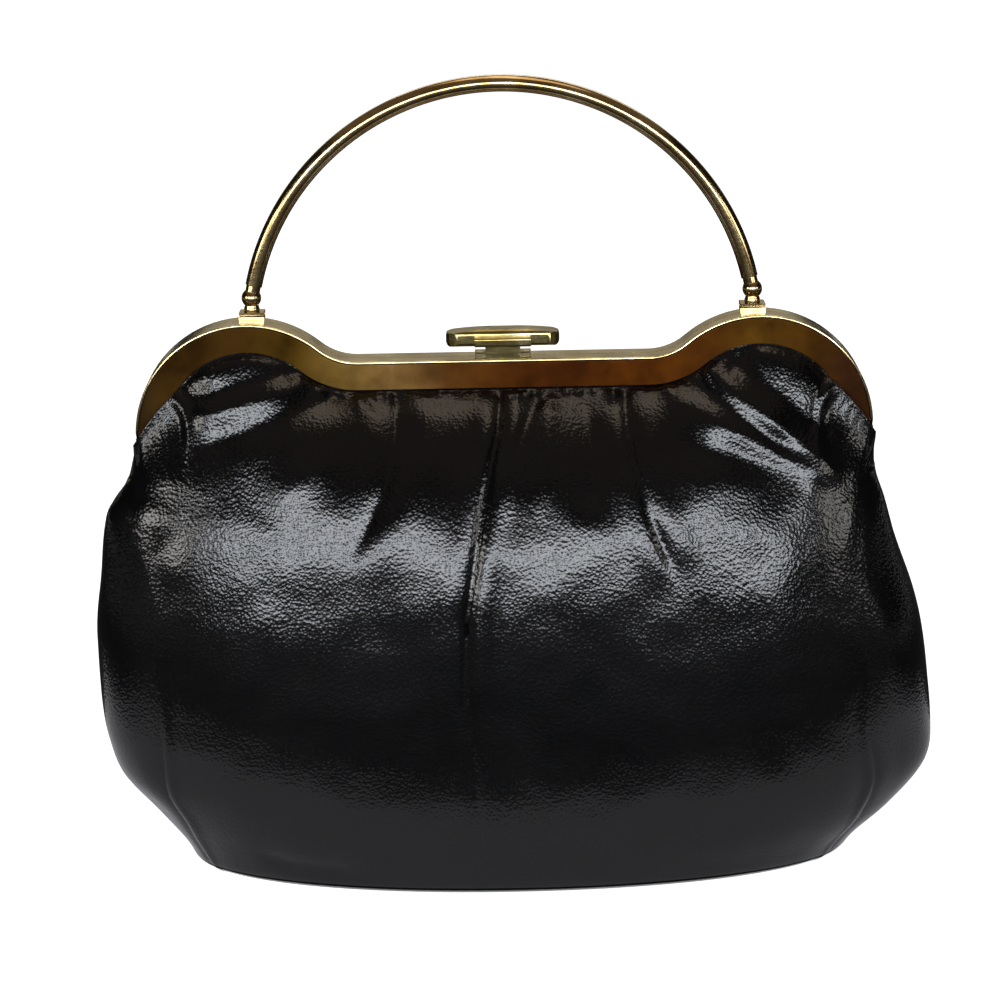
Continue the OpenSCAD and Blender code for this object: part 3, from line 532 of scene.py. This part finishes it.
def leafPoints(inset=0.0, lap=True, startRow=0):
    # Front half of the bag as a grid, rows upwards from the base, columns from left to right
    shape, mouth = bagShape, mouthShape
    share = np.linspace(-1.0, 1.0, 2 * shape["columns"] - 1)
    side, w = np.where(share < 0, -1.0, 1.0), np.abs(share)
    top, radius = ringTop(w), shape["bottomRadius"]
    rows = []
    for r in range(shape["bottomRows"]):
        roll = math.radians(90.0 * (1 - r / shape["bottomRows"]))
        z = np.full(len(w), radius * (1 - math.sin(roll)))
        rows.append(ringPoint(w, z, side, inset + radius * (1 - math.cos(roll))))
    for r in range(shape["ringRows"] + 1):
        rows.append(ringPoint(w, radius + (top - radius) * r / shape["ringRows"], side, inset))
    start = rows[-1]
    leave = (start - ringPoint(w, top - 3.0, side, inset)) / 3.0
    coverRun = outlineRun(mouth["coverAngle"] if lap else mouth["liningAngle"])
    foot = np.array(mouth["lapFoot"])
    lapStart = np.array([float(v) for v in outlinePoint(coverRun, -mouth["edgeDrop"])[:2]])
    lapRun = np.linalg.norm(foot - lapStart) if lap else 0.0
    run = w * (coverRun + lapRun)
    x, z, nx, nz = outlinePoint(np.minimum(run, coverRun), -mouth["edgeDrop"])
    y = np.full(len(w), -mouth["edgeDepth"] + min(inset, 1.5))
    lift = shape["arriveLift"] + (shape["lobeLift"] - shape["arriveLift"]) * smoothstep(run, dipX, dipX + 2 * dipRun)
    arrive = np.stack([nx * lift, np.ones(len(w)), nz * lift], axis=1)
    tuckX, tuckZ = outlinePoint(np.minimum(run, coverRun), -mouth["tuckDrop"])[:2]
    tuckY = np.full(len(w), -mouth["tuckDepth"] + min(inset, 1.5))
    if lap:
        q = np.clip((run - coverRun) / lapRun, 0.0, 1.0)
        along = (foot - lapStart) / lapRun
        out = np.array([-along[1], along[0]])
        arch = mouth["lapArch"] * np.sin(np.pi * q)
        lapX, lapZ = (lapStart[k] + q * lapRun * along[k] + arch * out[k] for k in (0, 1))
        front = smoothstep(q, 0.0, 0.14)
        lapY = -mouth["edgeDepth"] - (mouth["lapDepth"] - mouth["edgeDepth"]) * front \
            + (mouth["lapDepth"] - mouth["footDepth"]) * smoothstep(q, 0.82, 1.0)
        onLap = run > coverRun
        x, y, z = np.where(onLap, lapX, x), np.where(onLap, lapY, y), np.where(onLap, lapZ, z)
        close = smoothstep(q, 0.45, 1.0)[:, None]
        flat = np.array([out[0], 0.12, out[1]]) * (1 - close) + np.array([0.0, 0.05, 1.0]) * close
        mix = smoothstep(q, 0.0, 0.25)[:, None]
        arrive = arrive * (1 - mix) + flat * mix
        keep = smoothstep(run, coverRun - 4.0, coverRun)
        tuckX = tuckX * (1 - keep) + (x + 0.3 * out[0]) * keep
        tuckZ = tuckZ * (1 - keep) + (z + 0.3 * out[1]) * keep
        tuckY = tuckY * (1 - keep) + (y + 0.25) * keep
    end = np.stack([side * x, y, z], axis=1)
    arrive[:, 0] *= side
    arrive /= np.linalg.norm(arrive, axis=1, keepdims=True)
    leave /= np.linalg.norm(leave, axis=1, keepdims=True)
    span = np.linalg.norm(end - start, axis=1, keepdims=True)
    for r in range(1, shape["neckRows"] + 1):
        rows.append(hermite(r / shape["neckRows"], start, span * shape["neckPull"] * leave,
                            end, span * shape["arrivePull"] * arrive))
    tuck = np.stack([side * tuckX, tuckY, tuckZ], axis=1)
    for r in range(1, shape["tuckRows"] + 1):
        rows.append(end + (tuck - end) * r / shape["tuckRows"])
    return np.array(rows[startRow:])


def lengthsAlong(points, axis):
    steps = np.linalg.norm(np.diff(points, axis=axis), axis=2)
    zero = np.zeros_like(np.take(steps, [0], axis=axis))
    return np.concatenate([zero, np.cumsum(steps, axis=axis)], axis=axis)


def hideMap(points):
    across, up = lengthsAlong(points, 1), lengthsAlong(points, 0)
    across = across - across[:, across.shape[1] // 2, None]
    return np.stack([across, up], axis=2)


def foldHeight(x, z, fold):
    line = np.array(fold["line"], float)
    best = np.full(x.shape, 1e9)
    signed, along = np.zeros(x.shape), np.zeros(x.shape)
    walked = 0.0
    for a, b in zip(line[:-1], line[1:]):
        step = b - a
        size = np.hypot(*step)
        t = np.clip(((x - a[0]) * step[0] + (z - a[1]) * step[1]) / size ** 2, 0.0, 1.0)
        dx, dz = x - a[0] - t * step[0], z - a[1] - t * step[1]
        far = np.hypot(dx, dz)
        near = far < best
        best = np.where(near, far, best)
        signed = np.where(near, np.sign(step[0] * dz - step[1] * dx) * far, signed)
        along = np.where(near, walked + t * size, along)
        walked += size
    strength = curveThrough(fold.get("strength", [(0, 1), (1, 1)]))(along / walked)
    fade = smoothstep(along, -0.01, fold.get("fadeIn", 4.0))
    fade = fade * smoothstep(walked - along, -0.01, fold.get("fadeOut", 10.0))
    reach = fold.get("reach", 5.0)
    valley = np.exp(-(np.abs(signed) / fold["width"]) ** fold.get("sharp", 1.5))
    right = np.exp(-((signed - reach) / reach / 0.75) ** 2) * fold.get("right", 0.0)
    left = np.exp(-((signed + reach) / reach / 0.75) ** 2) * fold.get("left", 0.0)
    return (right + left - fold["depth"] * valley) * strength * fade


# Folds of the front in x, z: depth above 0 is a valley, below 0 a ridge; left and right are puffs beside it
frontFolds = [
    {"line": [(-1, 174), (-2, 160), (-5, 149), (-9, 130), (-14, 100), (-15, 73), (-12, 37), (-11, 3)],
     "depth": 1.7, "width": 1.1, "left": 0.7, "right": 1.2, "reach": 5.0, "sharp": 1.1, "fadeIn": 1.0, "fadeOut": 3.0,
     "strength": [(0, 0.8), (0.2, 1), (0.45, 1), (0.62, 0.55), (0.8, 0.25), (1, 0.2)]},
    {"line": [(13, 172), (7, 160), (-1, 146)], "depth": 0.8, "width": 2.2, "right": 0.3, "reach": 4.0, "fadeIn": 1.0},
    {"line": [(41, 174), (42, 160), (43, 152), (48, 134), (59, 109)], "depth": 1.5, "width": 1.3, "left": 0.3,
     "right": 0.5, "reach": 6.0, "sharp": 1.1, "fadeIn": 1.0, "fadeOut": 18.0,
     "strength": [(0, 0.8), (0.5, 0.8), (0.85, 1.1), (1, 0.8)]},
    {"line": [(-36, 174), (-37, 156), (-42, 140), (-56, 114)], "depth": 1.4, "width": 3.2, "left": 0.2, "right": 0.7,
     "reach": 9.0, "sharp": 1.2, "fadeIn": 1.0, "fadeOut": 22.0},
    {"line": [(27, 170), (31, 151), (25, 128)], "depth": 1.0, "width": 5.0, "fadeOut": 14.0},
    {"line": [(16, 168), (14, 150), (10, 128)], "depth": -0.9, "width": 5.0, "fadeOut": 18.0},
    {"line": [(48, 176), (62, 166), (83, 156), (116, 137)], "depth": -1.2, "width": 5.0, "fadeIn": 3.0, "fadeOut": 16.0},
    {"line": [(62, 176), (80, 163), (106, 146)], "depth": 1.1, "width": 3.6, "fadeIn": 3.0, "fadeOut": 16.0},
    {"line": [(68, 178), (86, 165), (104, 151), (118, 137)], "depth": -1.3, "width": 4.0, "fadeIn": 3.0,
     "fadeOut": 16.0},
    {"line": [(76, 181), (96, 168), (116, 151)], "depth": 1.2, "width": 5.0, "fadeOut": 14.0},
    {"line": [(84, 185), (100, 178), (113, 163)], "depth": -1.3, "width": 6.0},
    {"line": [(50, 156), (78, 152), (106, 141)], "depth": 1.8, "width": 9.0, "fadeIn": 12.0, "fadeOut": 16.0},
    {"line": [(-66, 180), (-88, 176), (-112, 169)], "depth": 1.1, "width": 3.6, "fadeIn": 3.0},
    {"line": [(-60, 176), (-85, 171), (-110, 163)], "depth": -1.1, "width": 4.4},
    {"line": [(-50, 173), (-80, 164), (-114, 152)], "depth": 1.3, "width": 6.0, "fadeOut": 20.0},
    {"line": [(-72, 185), (-92, 183), (-107, 174)], "depth": -1.0, "width": 5.5},
    {"line": [(-47, 170), (-58, 154), (-84, 133)], "depth": -0.8, "width": 7.0, "fadeOut": 20.0},
    {"line": [(-92, 13), (-75, 9), (-52, 8)], "depth": 0.9, "width": 3.0, "fadeIn": 10.0},
    {"line": [(-27, 82), (-26, 60), (-25, 36)], "depth": 0.25, "width": 1.2, "fadeIn": 12.0, "fadeOut": 16.0},
    {"line": [(122, 70), (128, 44), (120, 20)], "depth": 0.9, "width": 6.0, "fadeIn": 12.0},
    {"line": [(-100, 140), (-122, 118), (-118, 90)], "depth": 0.8, "width": 7.0, "fadeIn": 14.0, "fadeOut": 20.0}]
# Small gathers under the band: place along it, half width, height and length
frontGathers = [(-43.5, 0.9, 0.8, 9), (-40, 1.0, 0.9, 12), (-31, 0.8, 0.4, 7), (-22, 1.0, 0.9, 8), (-18.5, 0.8, 0.7, 9),
                (-10, 0.8, 0.4, 6), (1.5, 0.9, 1.1, 13), (5, 1.0, 1.0, 12), (8.5, 0.8, 0.9, 9), (12.5, 0.9, 0.8, 8),
                (21.5, 0.8, 0.9, 8), (25.5, 0.9, 0.8, 7), (31, 0.8, 0.4, 6), (37.5, 1.2, 1.2, 14), (46, 0.9, 0.5, 8),
                (56, 1.2, 0.6, 12), (61, 1.0, 0.6, 14), (66, 1.1, 0.6, 14), (71, 1.2, 0.5, 12), (-54, 1.2, 0.5, 10),
                (-62, 1.3, 0.5, 12), (-70, 1.2, 0.5, 10)]
# Puff in mm at height 1, its reach down as a share of its length, and how much wider than written it swells
gatherSet = {"puff": 2.4, "reach": 0.6, "swell": 1.5}
unevenness = {"broad": 1.1, "broadSize": 46.0, "small": 0.28, "smallSize": 13.0, "pucker": 0.22, "puckerPitch": 2.9}
seamSet = {"ridge": 0.3, "groove": 0.4, "fade": (35.0, 75.0)}


def noiseOver(mapped, across, up, seed):
    flat = mapped.reshape(-1, 2) / (across, up)
    return np.array([noise.noise(Vector((a, b, seed))) for a, b in flat]).reshape(mapped.shape[:2])


def seamDistance(mapped):
    # Along the hide to the nearer gusset seam
    return np.minimum(mapped[..., 0] - mapped[:, :1, 0], mapped[:, -1:, 0] - mapped[..., 0])


def leatherRelief(points, folds, gathers, seed):
    x, z = points[..., 0], points[..., 2]
    lift = sum(foldHeight(x, z, fold) for fold in folds)
    fromTop = lengthsAlong(points, 0)
    edgeRow = points.shape[0] - 1 - bagShape["tuckRows"]
    drop = fromTop[edgeRow] - fromTop
    mapped = hideMap(points)
    run = mapped[edgeRow, :, 0][None, :]
    gathered = np.zeros(x.shape)
    for place, half, height, size in gathers:
        bulge = height * np.exp(-((run - place) / half / gatherSet["swell"]) ** 2)
        gathered += bulge * (1 - smoothstep(drop, 1.0, 1.0 + size * gatherSet["reach"]))
    ripple = np.sin(2 * np.pi * run / unevenness["puckerPitch"] + 2.5 * np.sin(run / 7.0 + seed))
    lift = lift + unevenness["pucker"] * ripple * np.exp(-np.maximum(drop, 0) / 5.0)
    broad, small = unevenness["broadSize"], unevenness["smallSize"]
    rough = unevenness["broad"] * noiseOver(mapped, broad, broad / 0.8, seed) \
        + unevenness["small"] * noiseOver(mapped, small, small, seed + 5)
    shaped = (lift + rough) * smoothstep(z, 0.5, 9.0) * smoothstep(drop, 0.0, 3.5)
    shaped = shaped * smoothstep(seamDistance(mapped), -0.3, 7.0)
    # Folds and unevenness follow the surface, gathers puff straight out below the band
    moved = surfaceNormals(points) * (shaped + seamRidge(points, mapped))[..., None]
    moved[..., 1] -= gatherSet["puff"] * gathered * smoothstep(drop, -0.1, 1.2)
    return points + moved


def seamRidge(points, mapped):
    # Turned edge beside the gusset seam, plain only low on the bag
    fromSeam = seamDistance(mapped)
    shown = 1.0 - smoothstep(points[..., 2], *seamSet["fade"])
    ridge = np.exp(-((fromSeam - 2.0) / 1.5) ** 2) - 0.8 * np.exp(-(fromSeam / 0.9) ** 2)
    return seamSet["ridge"] * shown * ridge


def toRear(points):
    # The same grid on the other side, columns turned round so that faces still point outwards
    return (points * np.array([1.0, -1.0, 1.0]))[:, ::-1]


def buildLeather(name, facing, folds, gathers, seed, nodes):
    points = leafPoints()
    uv = hideMap(points)
    points = leatherRelief(points, folds, gathers, seed)
    if facing > 0:
        points, uv = toRear(points), uv[:, ::-1]
    piece = gridPiece(name, points, uv, blackLeather, bagShape["thickness"])
    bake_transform(piece)
    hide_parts(*nodes)


rearFolds = [dict(fold, line=[(2 - x * 0.97, z) for x, z in fold["line"]]) for fold in frontFolds[:17]]
rearGathers = [(3 - place, half, height, size) for place, half, height, size in frontGathers]
buildLeather("frontLeather", -1, frontFolds, frontGathers, 3.0,
             ["front_left_panel", "front_right_panel", "front_mouth_leather"])
buildLeather("rearLeather", 1, rearFolds, rearGathers, 11.0,
             ["rear_left_panel", "rear_right_panel", "rear_mouth_leather"])
print("front and rear leather built")

gussetSet = {"columns": 61, "uneven": 1.6, "unevenSize": (30.0, 38.0), "tuck": 1.8, "tuckWidth": 9.0,
             "ease": 1.3, "easeFrom": 145.5, "easeTo": 151.5}


def gussetPoints(side, inset=0.0):
    # Between the outer columns of the two leaves, rounded outwards
    leaf = leafPoints(inset)[:-bagShape["tuckRows"]]
    edge = leaf[:, -1] if side > 0 else leaf[:, 0]
    across = np.linspace(-1.0, 1.0, gussetSet["columns"])
    lastRing = bagShape["bottomRows"] + bagShape["ringRows"]
    rows = []
    for r, point in enumerate(edge):
        z = point[2]
        if r <= lastRing:
            radius = bagShape["bottomRadius"]
            roll = math.asin(1 - z / radius) if z < radius else 0.0
            cut = inset + radius * (1 - math.cos(roll))
            reach = float(rightEdge(z) if side > 0 else leftEdge(z)) - cut
            depth, power = float(bagDepth(z)) - cut, float(bagPower(z))
            turn = np.radians(float(seamTurn(z))) * across
            x = side * reach * np.cos(turn) ** (2 / power)
            y = depth * np.sign(turn) * np.abs(np.sin(turn)) ** (2 / power)
        else:
            reach = max(float(rightEdge(z) if side > 0 else leftEdge(z)) - inset, abs(point[0]) + 0.2)
            y = across * abs(point[1])
            x = side * (abs(point[0]) + (reach - abs(point[0])) * (1 - across ** 2))
        rows.append(np.stack([x, y, np.full(len(across), z)], axis=1))
    points = np.array(rows)
    return points if side > 0 else points[:, ::-1]


def buildGusset(name, side, node, seed):
    cfg, points = gussetSet, gussetPoints(side)
    mapped, z = hideMap(points), points[..., 2]
    rough = cfg["uneven"] * noiseOver(mapped, *cfg["unevenSize"], seed)
    fromSeam = seamDistance(mapped)
    groove = seamSet["groove"] * (1.0 - smoothstep(z, *seamSet["fade"])) * np.exp(-(fromSeam / 1.6) ** 2)
    middle = np.exp(-(mapped[..., 0] / cfg["tuckWidth"]) ** 2)
    tuck = cfg["tuck"] * middle * smoothstep(z, 70.0, 130.0) * smoothstep(156.0 - z, 0.0, 20.0)
    lift = (rough * smoothstep(fromSeam, 0.0, 12.0) - groove - tuck) * smoothstep(z, 0.5, 9.0)
    points = points + surfaceNormals(points) * lift[..., None]
    # Top edge eased down, clear of the frame's ends when they swing open
    points[..., 2] -= cfg["ease"] * smoothstep(points[..., 2], cfg["easeFrom"], cfg["easeTo"])
    piece = gridPiece(name, points, mapped, blackLeather, bagShape["thickness"])
    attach(piece, "pouch")
    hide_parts(node)


buildGusset("leftGusset", -1, "left_gusset", 21.0)
buildGusset("rightGusset", 1, "right_gusset", 27.0)
print("gussets built")

discSet = {"corners": 240, "rings": 14, "mergeGap": 0.4}


def discPiece(name, inset, height, thickness, material):
    # Flat panel inside the bag's outline on the ground
    turn = np.linspace(0, 2 * np.pi, discSet["corners"] + 1)[:-1]
    z = np.zeros(len(turn))
    edge = np.where(np.cos(turn) > 0, rightEdge(z), leftEdge(z)) - bagShape["bottomRadius"] - inset
    depth = bagDepth(z) - bagShape["bottomRadius"] - inset
    power = bagPower(z)
    x = edge * np.sign(np.cos(turn)) * np.abs(np.cos(turn)) ** (2 / power)
    y = depth * np.sign(np.sin(turn)) * np.abs(np.sin(turn)) ** (2 / power)
    outline = np.stack([x, y, np.full(len(turn), height)], axis=1)
    scale = np.linspace(0.001, 1.0, discSet["rings"])[:, None, None]
    points = outline[None] * np.array([1, 1, 0]) * scale + np.array([0, 0, height])
    piece = gridPiece(name, points, points[..., :2], material, closed=True)
    piece.data.flip_normals()
    cleanMesh(piece.data, discSet["mergeGap"])
    solid = piece.modifiers.new("thickness", "SOLIDIFY")
    solid.thickness = thickness * mm
    solid.offset = -1.0
    makeReal(piece)
    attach(piece, "pouch")
    return piece


baseLeather = discPiece("baseLeather", 0.3, 1.5, 1.2, blackLeather)
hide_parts("base_leather")
liningSet = {"inset": 5.0, "slack": 2.2, "slackReach": 5.0, "floor": 4.6, "thickness": 0.5, "sideTop": 147.0}
floorLining = discPiece("floorLining", 1.0, liningSet["floor"], liningSet["thickness"], darkLining)


def buildLining(name, facing, nodes):
    points = leafPoints(liningSet["inset"], lap=False, startRow=bagShape["bottomRows"] + 1)
    uv = hideMap(points)
    drop = uv[-1 - bagShape["tuckRows"], :, 1] - uv[..., 1]
    slack = liningSet["slack"] * smoothstep(drop, 0.0, liningSet["slackReach"])
    points = points - surfaceNormals(points) * slack[..., None]
    if facing > 0:
        points, uv = toRear(points), uv[:, ::-1]
    piece = gridPiece(name, points, uv, darkLining, liningSet["thickness"])
    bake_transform(piece)
    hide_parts(*nodes)
    return points


frontLiningPoints = buildLining("frontLining", -1, ["front_mouth_lining", "lining"])
rearLiningPoints = buildLining("rearLining", 1, ["rear_mouth_lining"])
for name, side in (("leftLining", -1), ("rightLining", 1)):
    points = gussetPoints(side, liningSet["inset"])
    heights = points[:, 0, 2]
    points = points[(heights > bagShape["bottomRadius"]) & (heights < liningSet["sideTop"])]
    sideLining = gridPiece(name, points, hideMap(points), darkLining, liningSet["thickness"])
    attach(sideLining, "pouch")
print("base and lining built")


# Geometry Nodes: pieces that follow a path or repeat along one
def newTree(name, inputs):
    tree = bpy.data.node_groups.new(name, "GeometryNodeTree")
    tree.interface.new_socket("Geometry", in_out="INPUT", socket_type="NodeSocketGeometry")
    for label, kind in inputs:
        tree.interface.new_socket(label, in_out="INPUT", socket_type=kind)
    tree.interface.new_socket("Geometry", in_out="OUTPUT", socket_type="NodeSocketGeometry")
    return tree, tree.nodes.new("NodeGroupInput"), tree.nodes.new("NodeGroupOutput")


def finishTree(tree, geometry, source, output):
    smooth = addNode(tree, "GeometryNodeSetShadeSmooth", {"Geometry": geometry})
    real = addNode(tree, "GeometryNodeRealizeInstances", {"Geometry": smooth.outputs[0]})
    painted = addNode(tree, "GeometryNodeSetMaterial", {
        "Geometry": real.outputs[0], "Material": source.outputs["Material"]})
    tree.links.new(painted.outputs[0], output.inputs["Geometry"])


def nodesPiece(name, tree, values, source=None):
    piece = bpy.data.objects.new(name, source or bpy.data.meshes.new(name))
    bpy.context.scene.collection.objects.link(piece)
    modifier = piece.modifiers.new("nodes", "NODES")
    modifier.node_group = tree
    for item in tree.interface.items_tree:
        if item.item_type == "SOCKET" and item.in_out == "INPUT" and item.name in values:
            modifier[item.identifier] = values[item.name]
    graph = bpy.context.evaluated_depsgraph_get()
    made = bpy.data.meshes.new_from_object(piece.evaluated_get(graph))
    made.name = name
    bpy.data.objects.remove(piece)
    piece = bpy.data.objects.new(name, made)
    bpy.context.scene.collection.objects.link(piece)
    return piece


def arcTubeTree():
    tree, source, output = newTree("arcTube", [
        ("Arc Radius", "NodeSocketFloat"), ("Start Angle", "NodeSocketFloat"), ("Sweep Angle", "NodeSocketFloat"),
        ("Tube Radius", "NodeSocketFloat"), ("Centre", "NodeSocketVector"), ("Material", "NodeSocketMaterial")])
    arc = addNode(tree, "GeometryNodeCurveArc", {
        "Resolution": 181, "Radius": source.outputs["Arc Radius"], "Start Angle": source.outputs["Start Angle"],
        "Sweep Angle": source.outputs["Sweep Angle"]}, mode="RADIUS")
    upright = addNode(tree, "GeometryNodeTransform", {
        "Geometry": arc.outputs["Curve"], "Translation": source.outputs["Centre"],
        "Rotation": (math.radians(90), 0.0, 0.0)})
    circle = addNode(tree, "GeometryNodeCurvePrimitiveCircle", {
        "Resolution": 32, "Radius": source.outputs["Tube Radius"]}, mode="RADIUS")
    tube = addNode(tree, "GeometryNodeCurveToMesh", {
        "Curve": upright.outputs[0], "Profile Curve": circle.outputs["Curve"], "Fill Caps": True})
    finishTree(tree, tube.outputs[0], source, output)
    return tree


handleSet = {"arcRadius": 87.3, "tubeRadius": 2.9, "startAngle": 12.84, "depth": 3.85}
tubeTop = max(corner[2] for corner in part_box("handle_tube"))
handleTube = nodesPiece("handleTube", arcTubeTree(), {
    "Arc Radius": handleSet["arcRadius"] * mm, "Tube Radius": handleSet["tubeRadius"] * mm,
    "Start Angle": math.radians(handleSet["startAngle"]),
    "Sweep Angle": math.radians(180 - 2 * handleSet["startAngle"]),
    "Centre": (0.0, handleSet["depth"] * mm, tubeTop - (handleSet["arcRadius"] + handleSet["tubeRadius"]) * mm),
    "Material": handleGold})
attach(handleTube, "handle")
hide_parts("handle_tube")


def stitchTree():
    tree, source, output = newTree("stitchRow", [
        ("Pitch", "NodeSocketFloat"), ("Stitch Length", "NodeSocketFloat"), ("Thread Radius", "NodeSocketFloat"),
        ("Material", "NodeSocketMaterial")])
    spaced = addNode(tree, "GeometryNodeResampleCurve", {
        "Curve": source.outputs["Geometry"], "Length": source.outputs["Pitch"]}, mode="LENGTH")
    tangent = addNode(tree, "GeometryNodeInputTangent")
    turn = addNode(tree, "FunctionNodeAlignRotationToVector", {"Vector": tangent.outputs[0]}, axis="Z")
    thread = addNode(tree, "GeometryNodeMeshCylinder", {
        "Vertices": 6, "Side Segments": 2, "Radius": source.outputs["Thread Radius"],
        "Depth": source.outputs["Stitch Length"]})
    placed = addNode(tree, "GeometryNodeInstanceOnPoints", {
        "Points": spaced.outputs[0], "Instance": thread.outputs["Mesh"], "Rotation": turn.outputs[0]})
    finishTree(tree, placed.outputs[0], source, output)
    return tree


stitchSet = {"pitch": 3.6, "length": 2.5, "radius": 0.22, "rowsBelowEdge": 9, "proud": 0.62}
stitches = stitchTree()


def buildStitches(name, points):
    # A row of stitches on the lining, a little below the frame, on the inside of the bag
    inside = points - surfaceNormals(points) * stitchSet["proud"]
    route = inside[-1 - bagShape["tuckRows"] - stitchSet["rowsBelowEdge"]]
    curve = bpy.data.curves.new(name, "CURVE")
    curve.dimensions = "3D"
    spline = curve.splines.new("POLY")
    spline.points.add(len(route) - 1)
    for knot, place in zip(spline.points, route):
        knot.co = (*(place * mm), 1.0)
    piece = nodesPiece(name, stitches, {
        "Pitch": stitchSet["pitch"] * mm, "Stitch Length": stitchSet["length"] * mm,
        "Thread Radius": stitchSet["radius"] * mm, "Material": blackThread}, curve)
    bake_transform(piece)


buildStitches("frontStitches", frontLiningPoints)
buildStitches("rearStitches", rearLiningPoints)
print("handle tube and stitches built")


# Metal pieces: merged copies of the CAD solids with softened edges and smooth curves
metalSet = {"frameBevel": 0.3, "bevel": 0.2, "smallBevel": 0.1, "creaseAngle": 28.0, "mergeGap": 0.002,
            "flatAngle": 0.6}
metalPieces = [
    ("frontFrame", "front_frame", "front_half", "frame_gold", polishedGold, "frameBevel"),
    ("rearFrame", "rear_frame", "rear_half", "frame_gold", polishedGold, "frameBevel"),
    ("frontBand", "front_cover_band", "front_half", "band_amber", amberBand, "smallBevel"),
    ("rearBand", "rear_cover_band", "rear_half", "band_amber", amberBand, "smallBevel"),
    ("frontCatch", "front_lock_catch", "front_half", "lock_gold", lockGold, "bevel"),
    ("rearBar", "rear_lock_bar", "rear_half", "lock_gold", lockGold, "bevel"),
    ("leftBracket", "left_handle_bracket", "rear_half", "frame_gold", polishedGold, "smallBevel"),
    ("rightBracket", "right_handle_bracket", "rear_half", "frame_gold", polishedGold, "smallBevel"),
    ("leftLeaf", "left_handle_leaf", "handle", "frame_gold", polishedGold, "smallBevel"),
    ("rightLeaf", "right_handle_leaf", "handle", "frame_gold", polishedGold, "smallBevel"),
    ("leftBall", "left_handle_ball", "handle", "handle_gold", handleGold, "smallBevel"),
    ("rightBall", "right_handle_ball", "handle", "handle_gold", handleGold, "smallBevel")]


def buildMetal(name, node, body, slot, material, bevel):
    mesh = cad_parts[node].data.copy()
    mesh.name = name
    mesh.materials.clear()
    mesh.materials.append(material)
    cleanMesh(mesh, metalSet["mergeGap"], metalSet["flatAngle"])
    mesh.shade_smooth()
    piece = bpy.data.objects.new(name, mesh)
    bpy.context.scene.collection.objects.link(piece)
    soften = piece.modifiers.new("softEdges", "BEVEL")
    soften.width = metalSet[bevel] * mm
    soften.segments = 3
    soften.limit_method = "ANGLE"
    soften.angle_limit = math.radians(metalSet["creaseAngle"])
    even = piece.modifiers.new("evenNormals", "WEIGHTED_NORMAL")
    even.keep_sharp = True
    makeReal(piece)
    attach(piece, body)
    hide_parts(node)


for entry in metalPieces:
    buildMetal(*entry)
print("metal pieces softened")

# Finishes of the CAD pieces
finishes = {
    "front_frame": polishedGold, "rear_frame": polishedGold, "front_cover_band": amberBand,
    "rear_cover_band": amberBand, "front_lock_catch": lockGold, "rear_lock_bar": lockGold,
    "front_lock_rivets": pinBrass, "rear_lock_rivets": pinBrass, "handle_bracket_rivets": pinBrass,
    "handle_hinge_pins": pinBrass, "left_frame_pin": pinBrass, "right_frame_pin": pinBrass,
    "frame_washers": washerSteel, "front_packing_cord": paperCord, "rear_packing_cord": paperCord,
    "base_board": fibreBoard, "lining": darkLining, "front_mouth_lining": darkLining,
    "rear_mouth_lining": darkLining}
for word in ("bracket", "leaf", "ball"):
    finishes.update({f"{side}_handle_{word}": polishedGold for side in ("left", "right")})
finishes["handle_tube"] = polishedGold
for name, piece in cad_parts.items():
    piece.data.materials.clear()
    piece.data.materials.append(finishes.get(name, blackLeather))
print("CAD pieces painted")

bpy.context.view_layer.update()
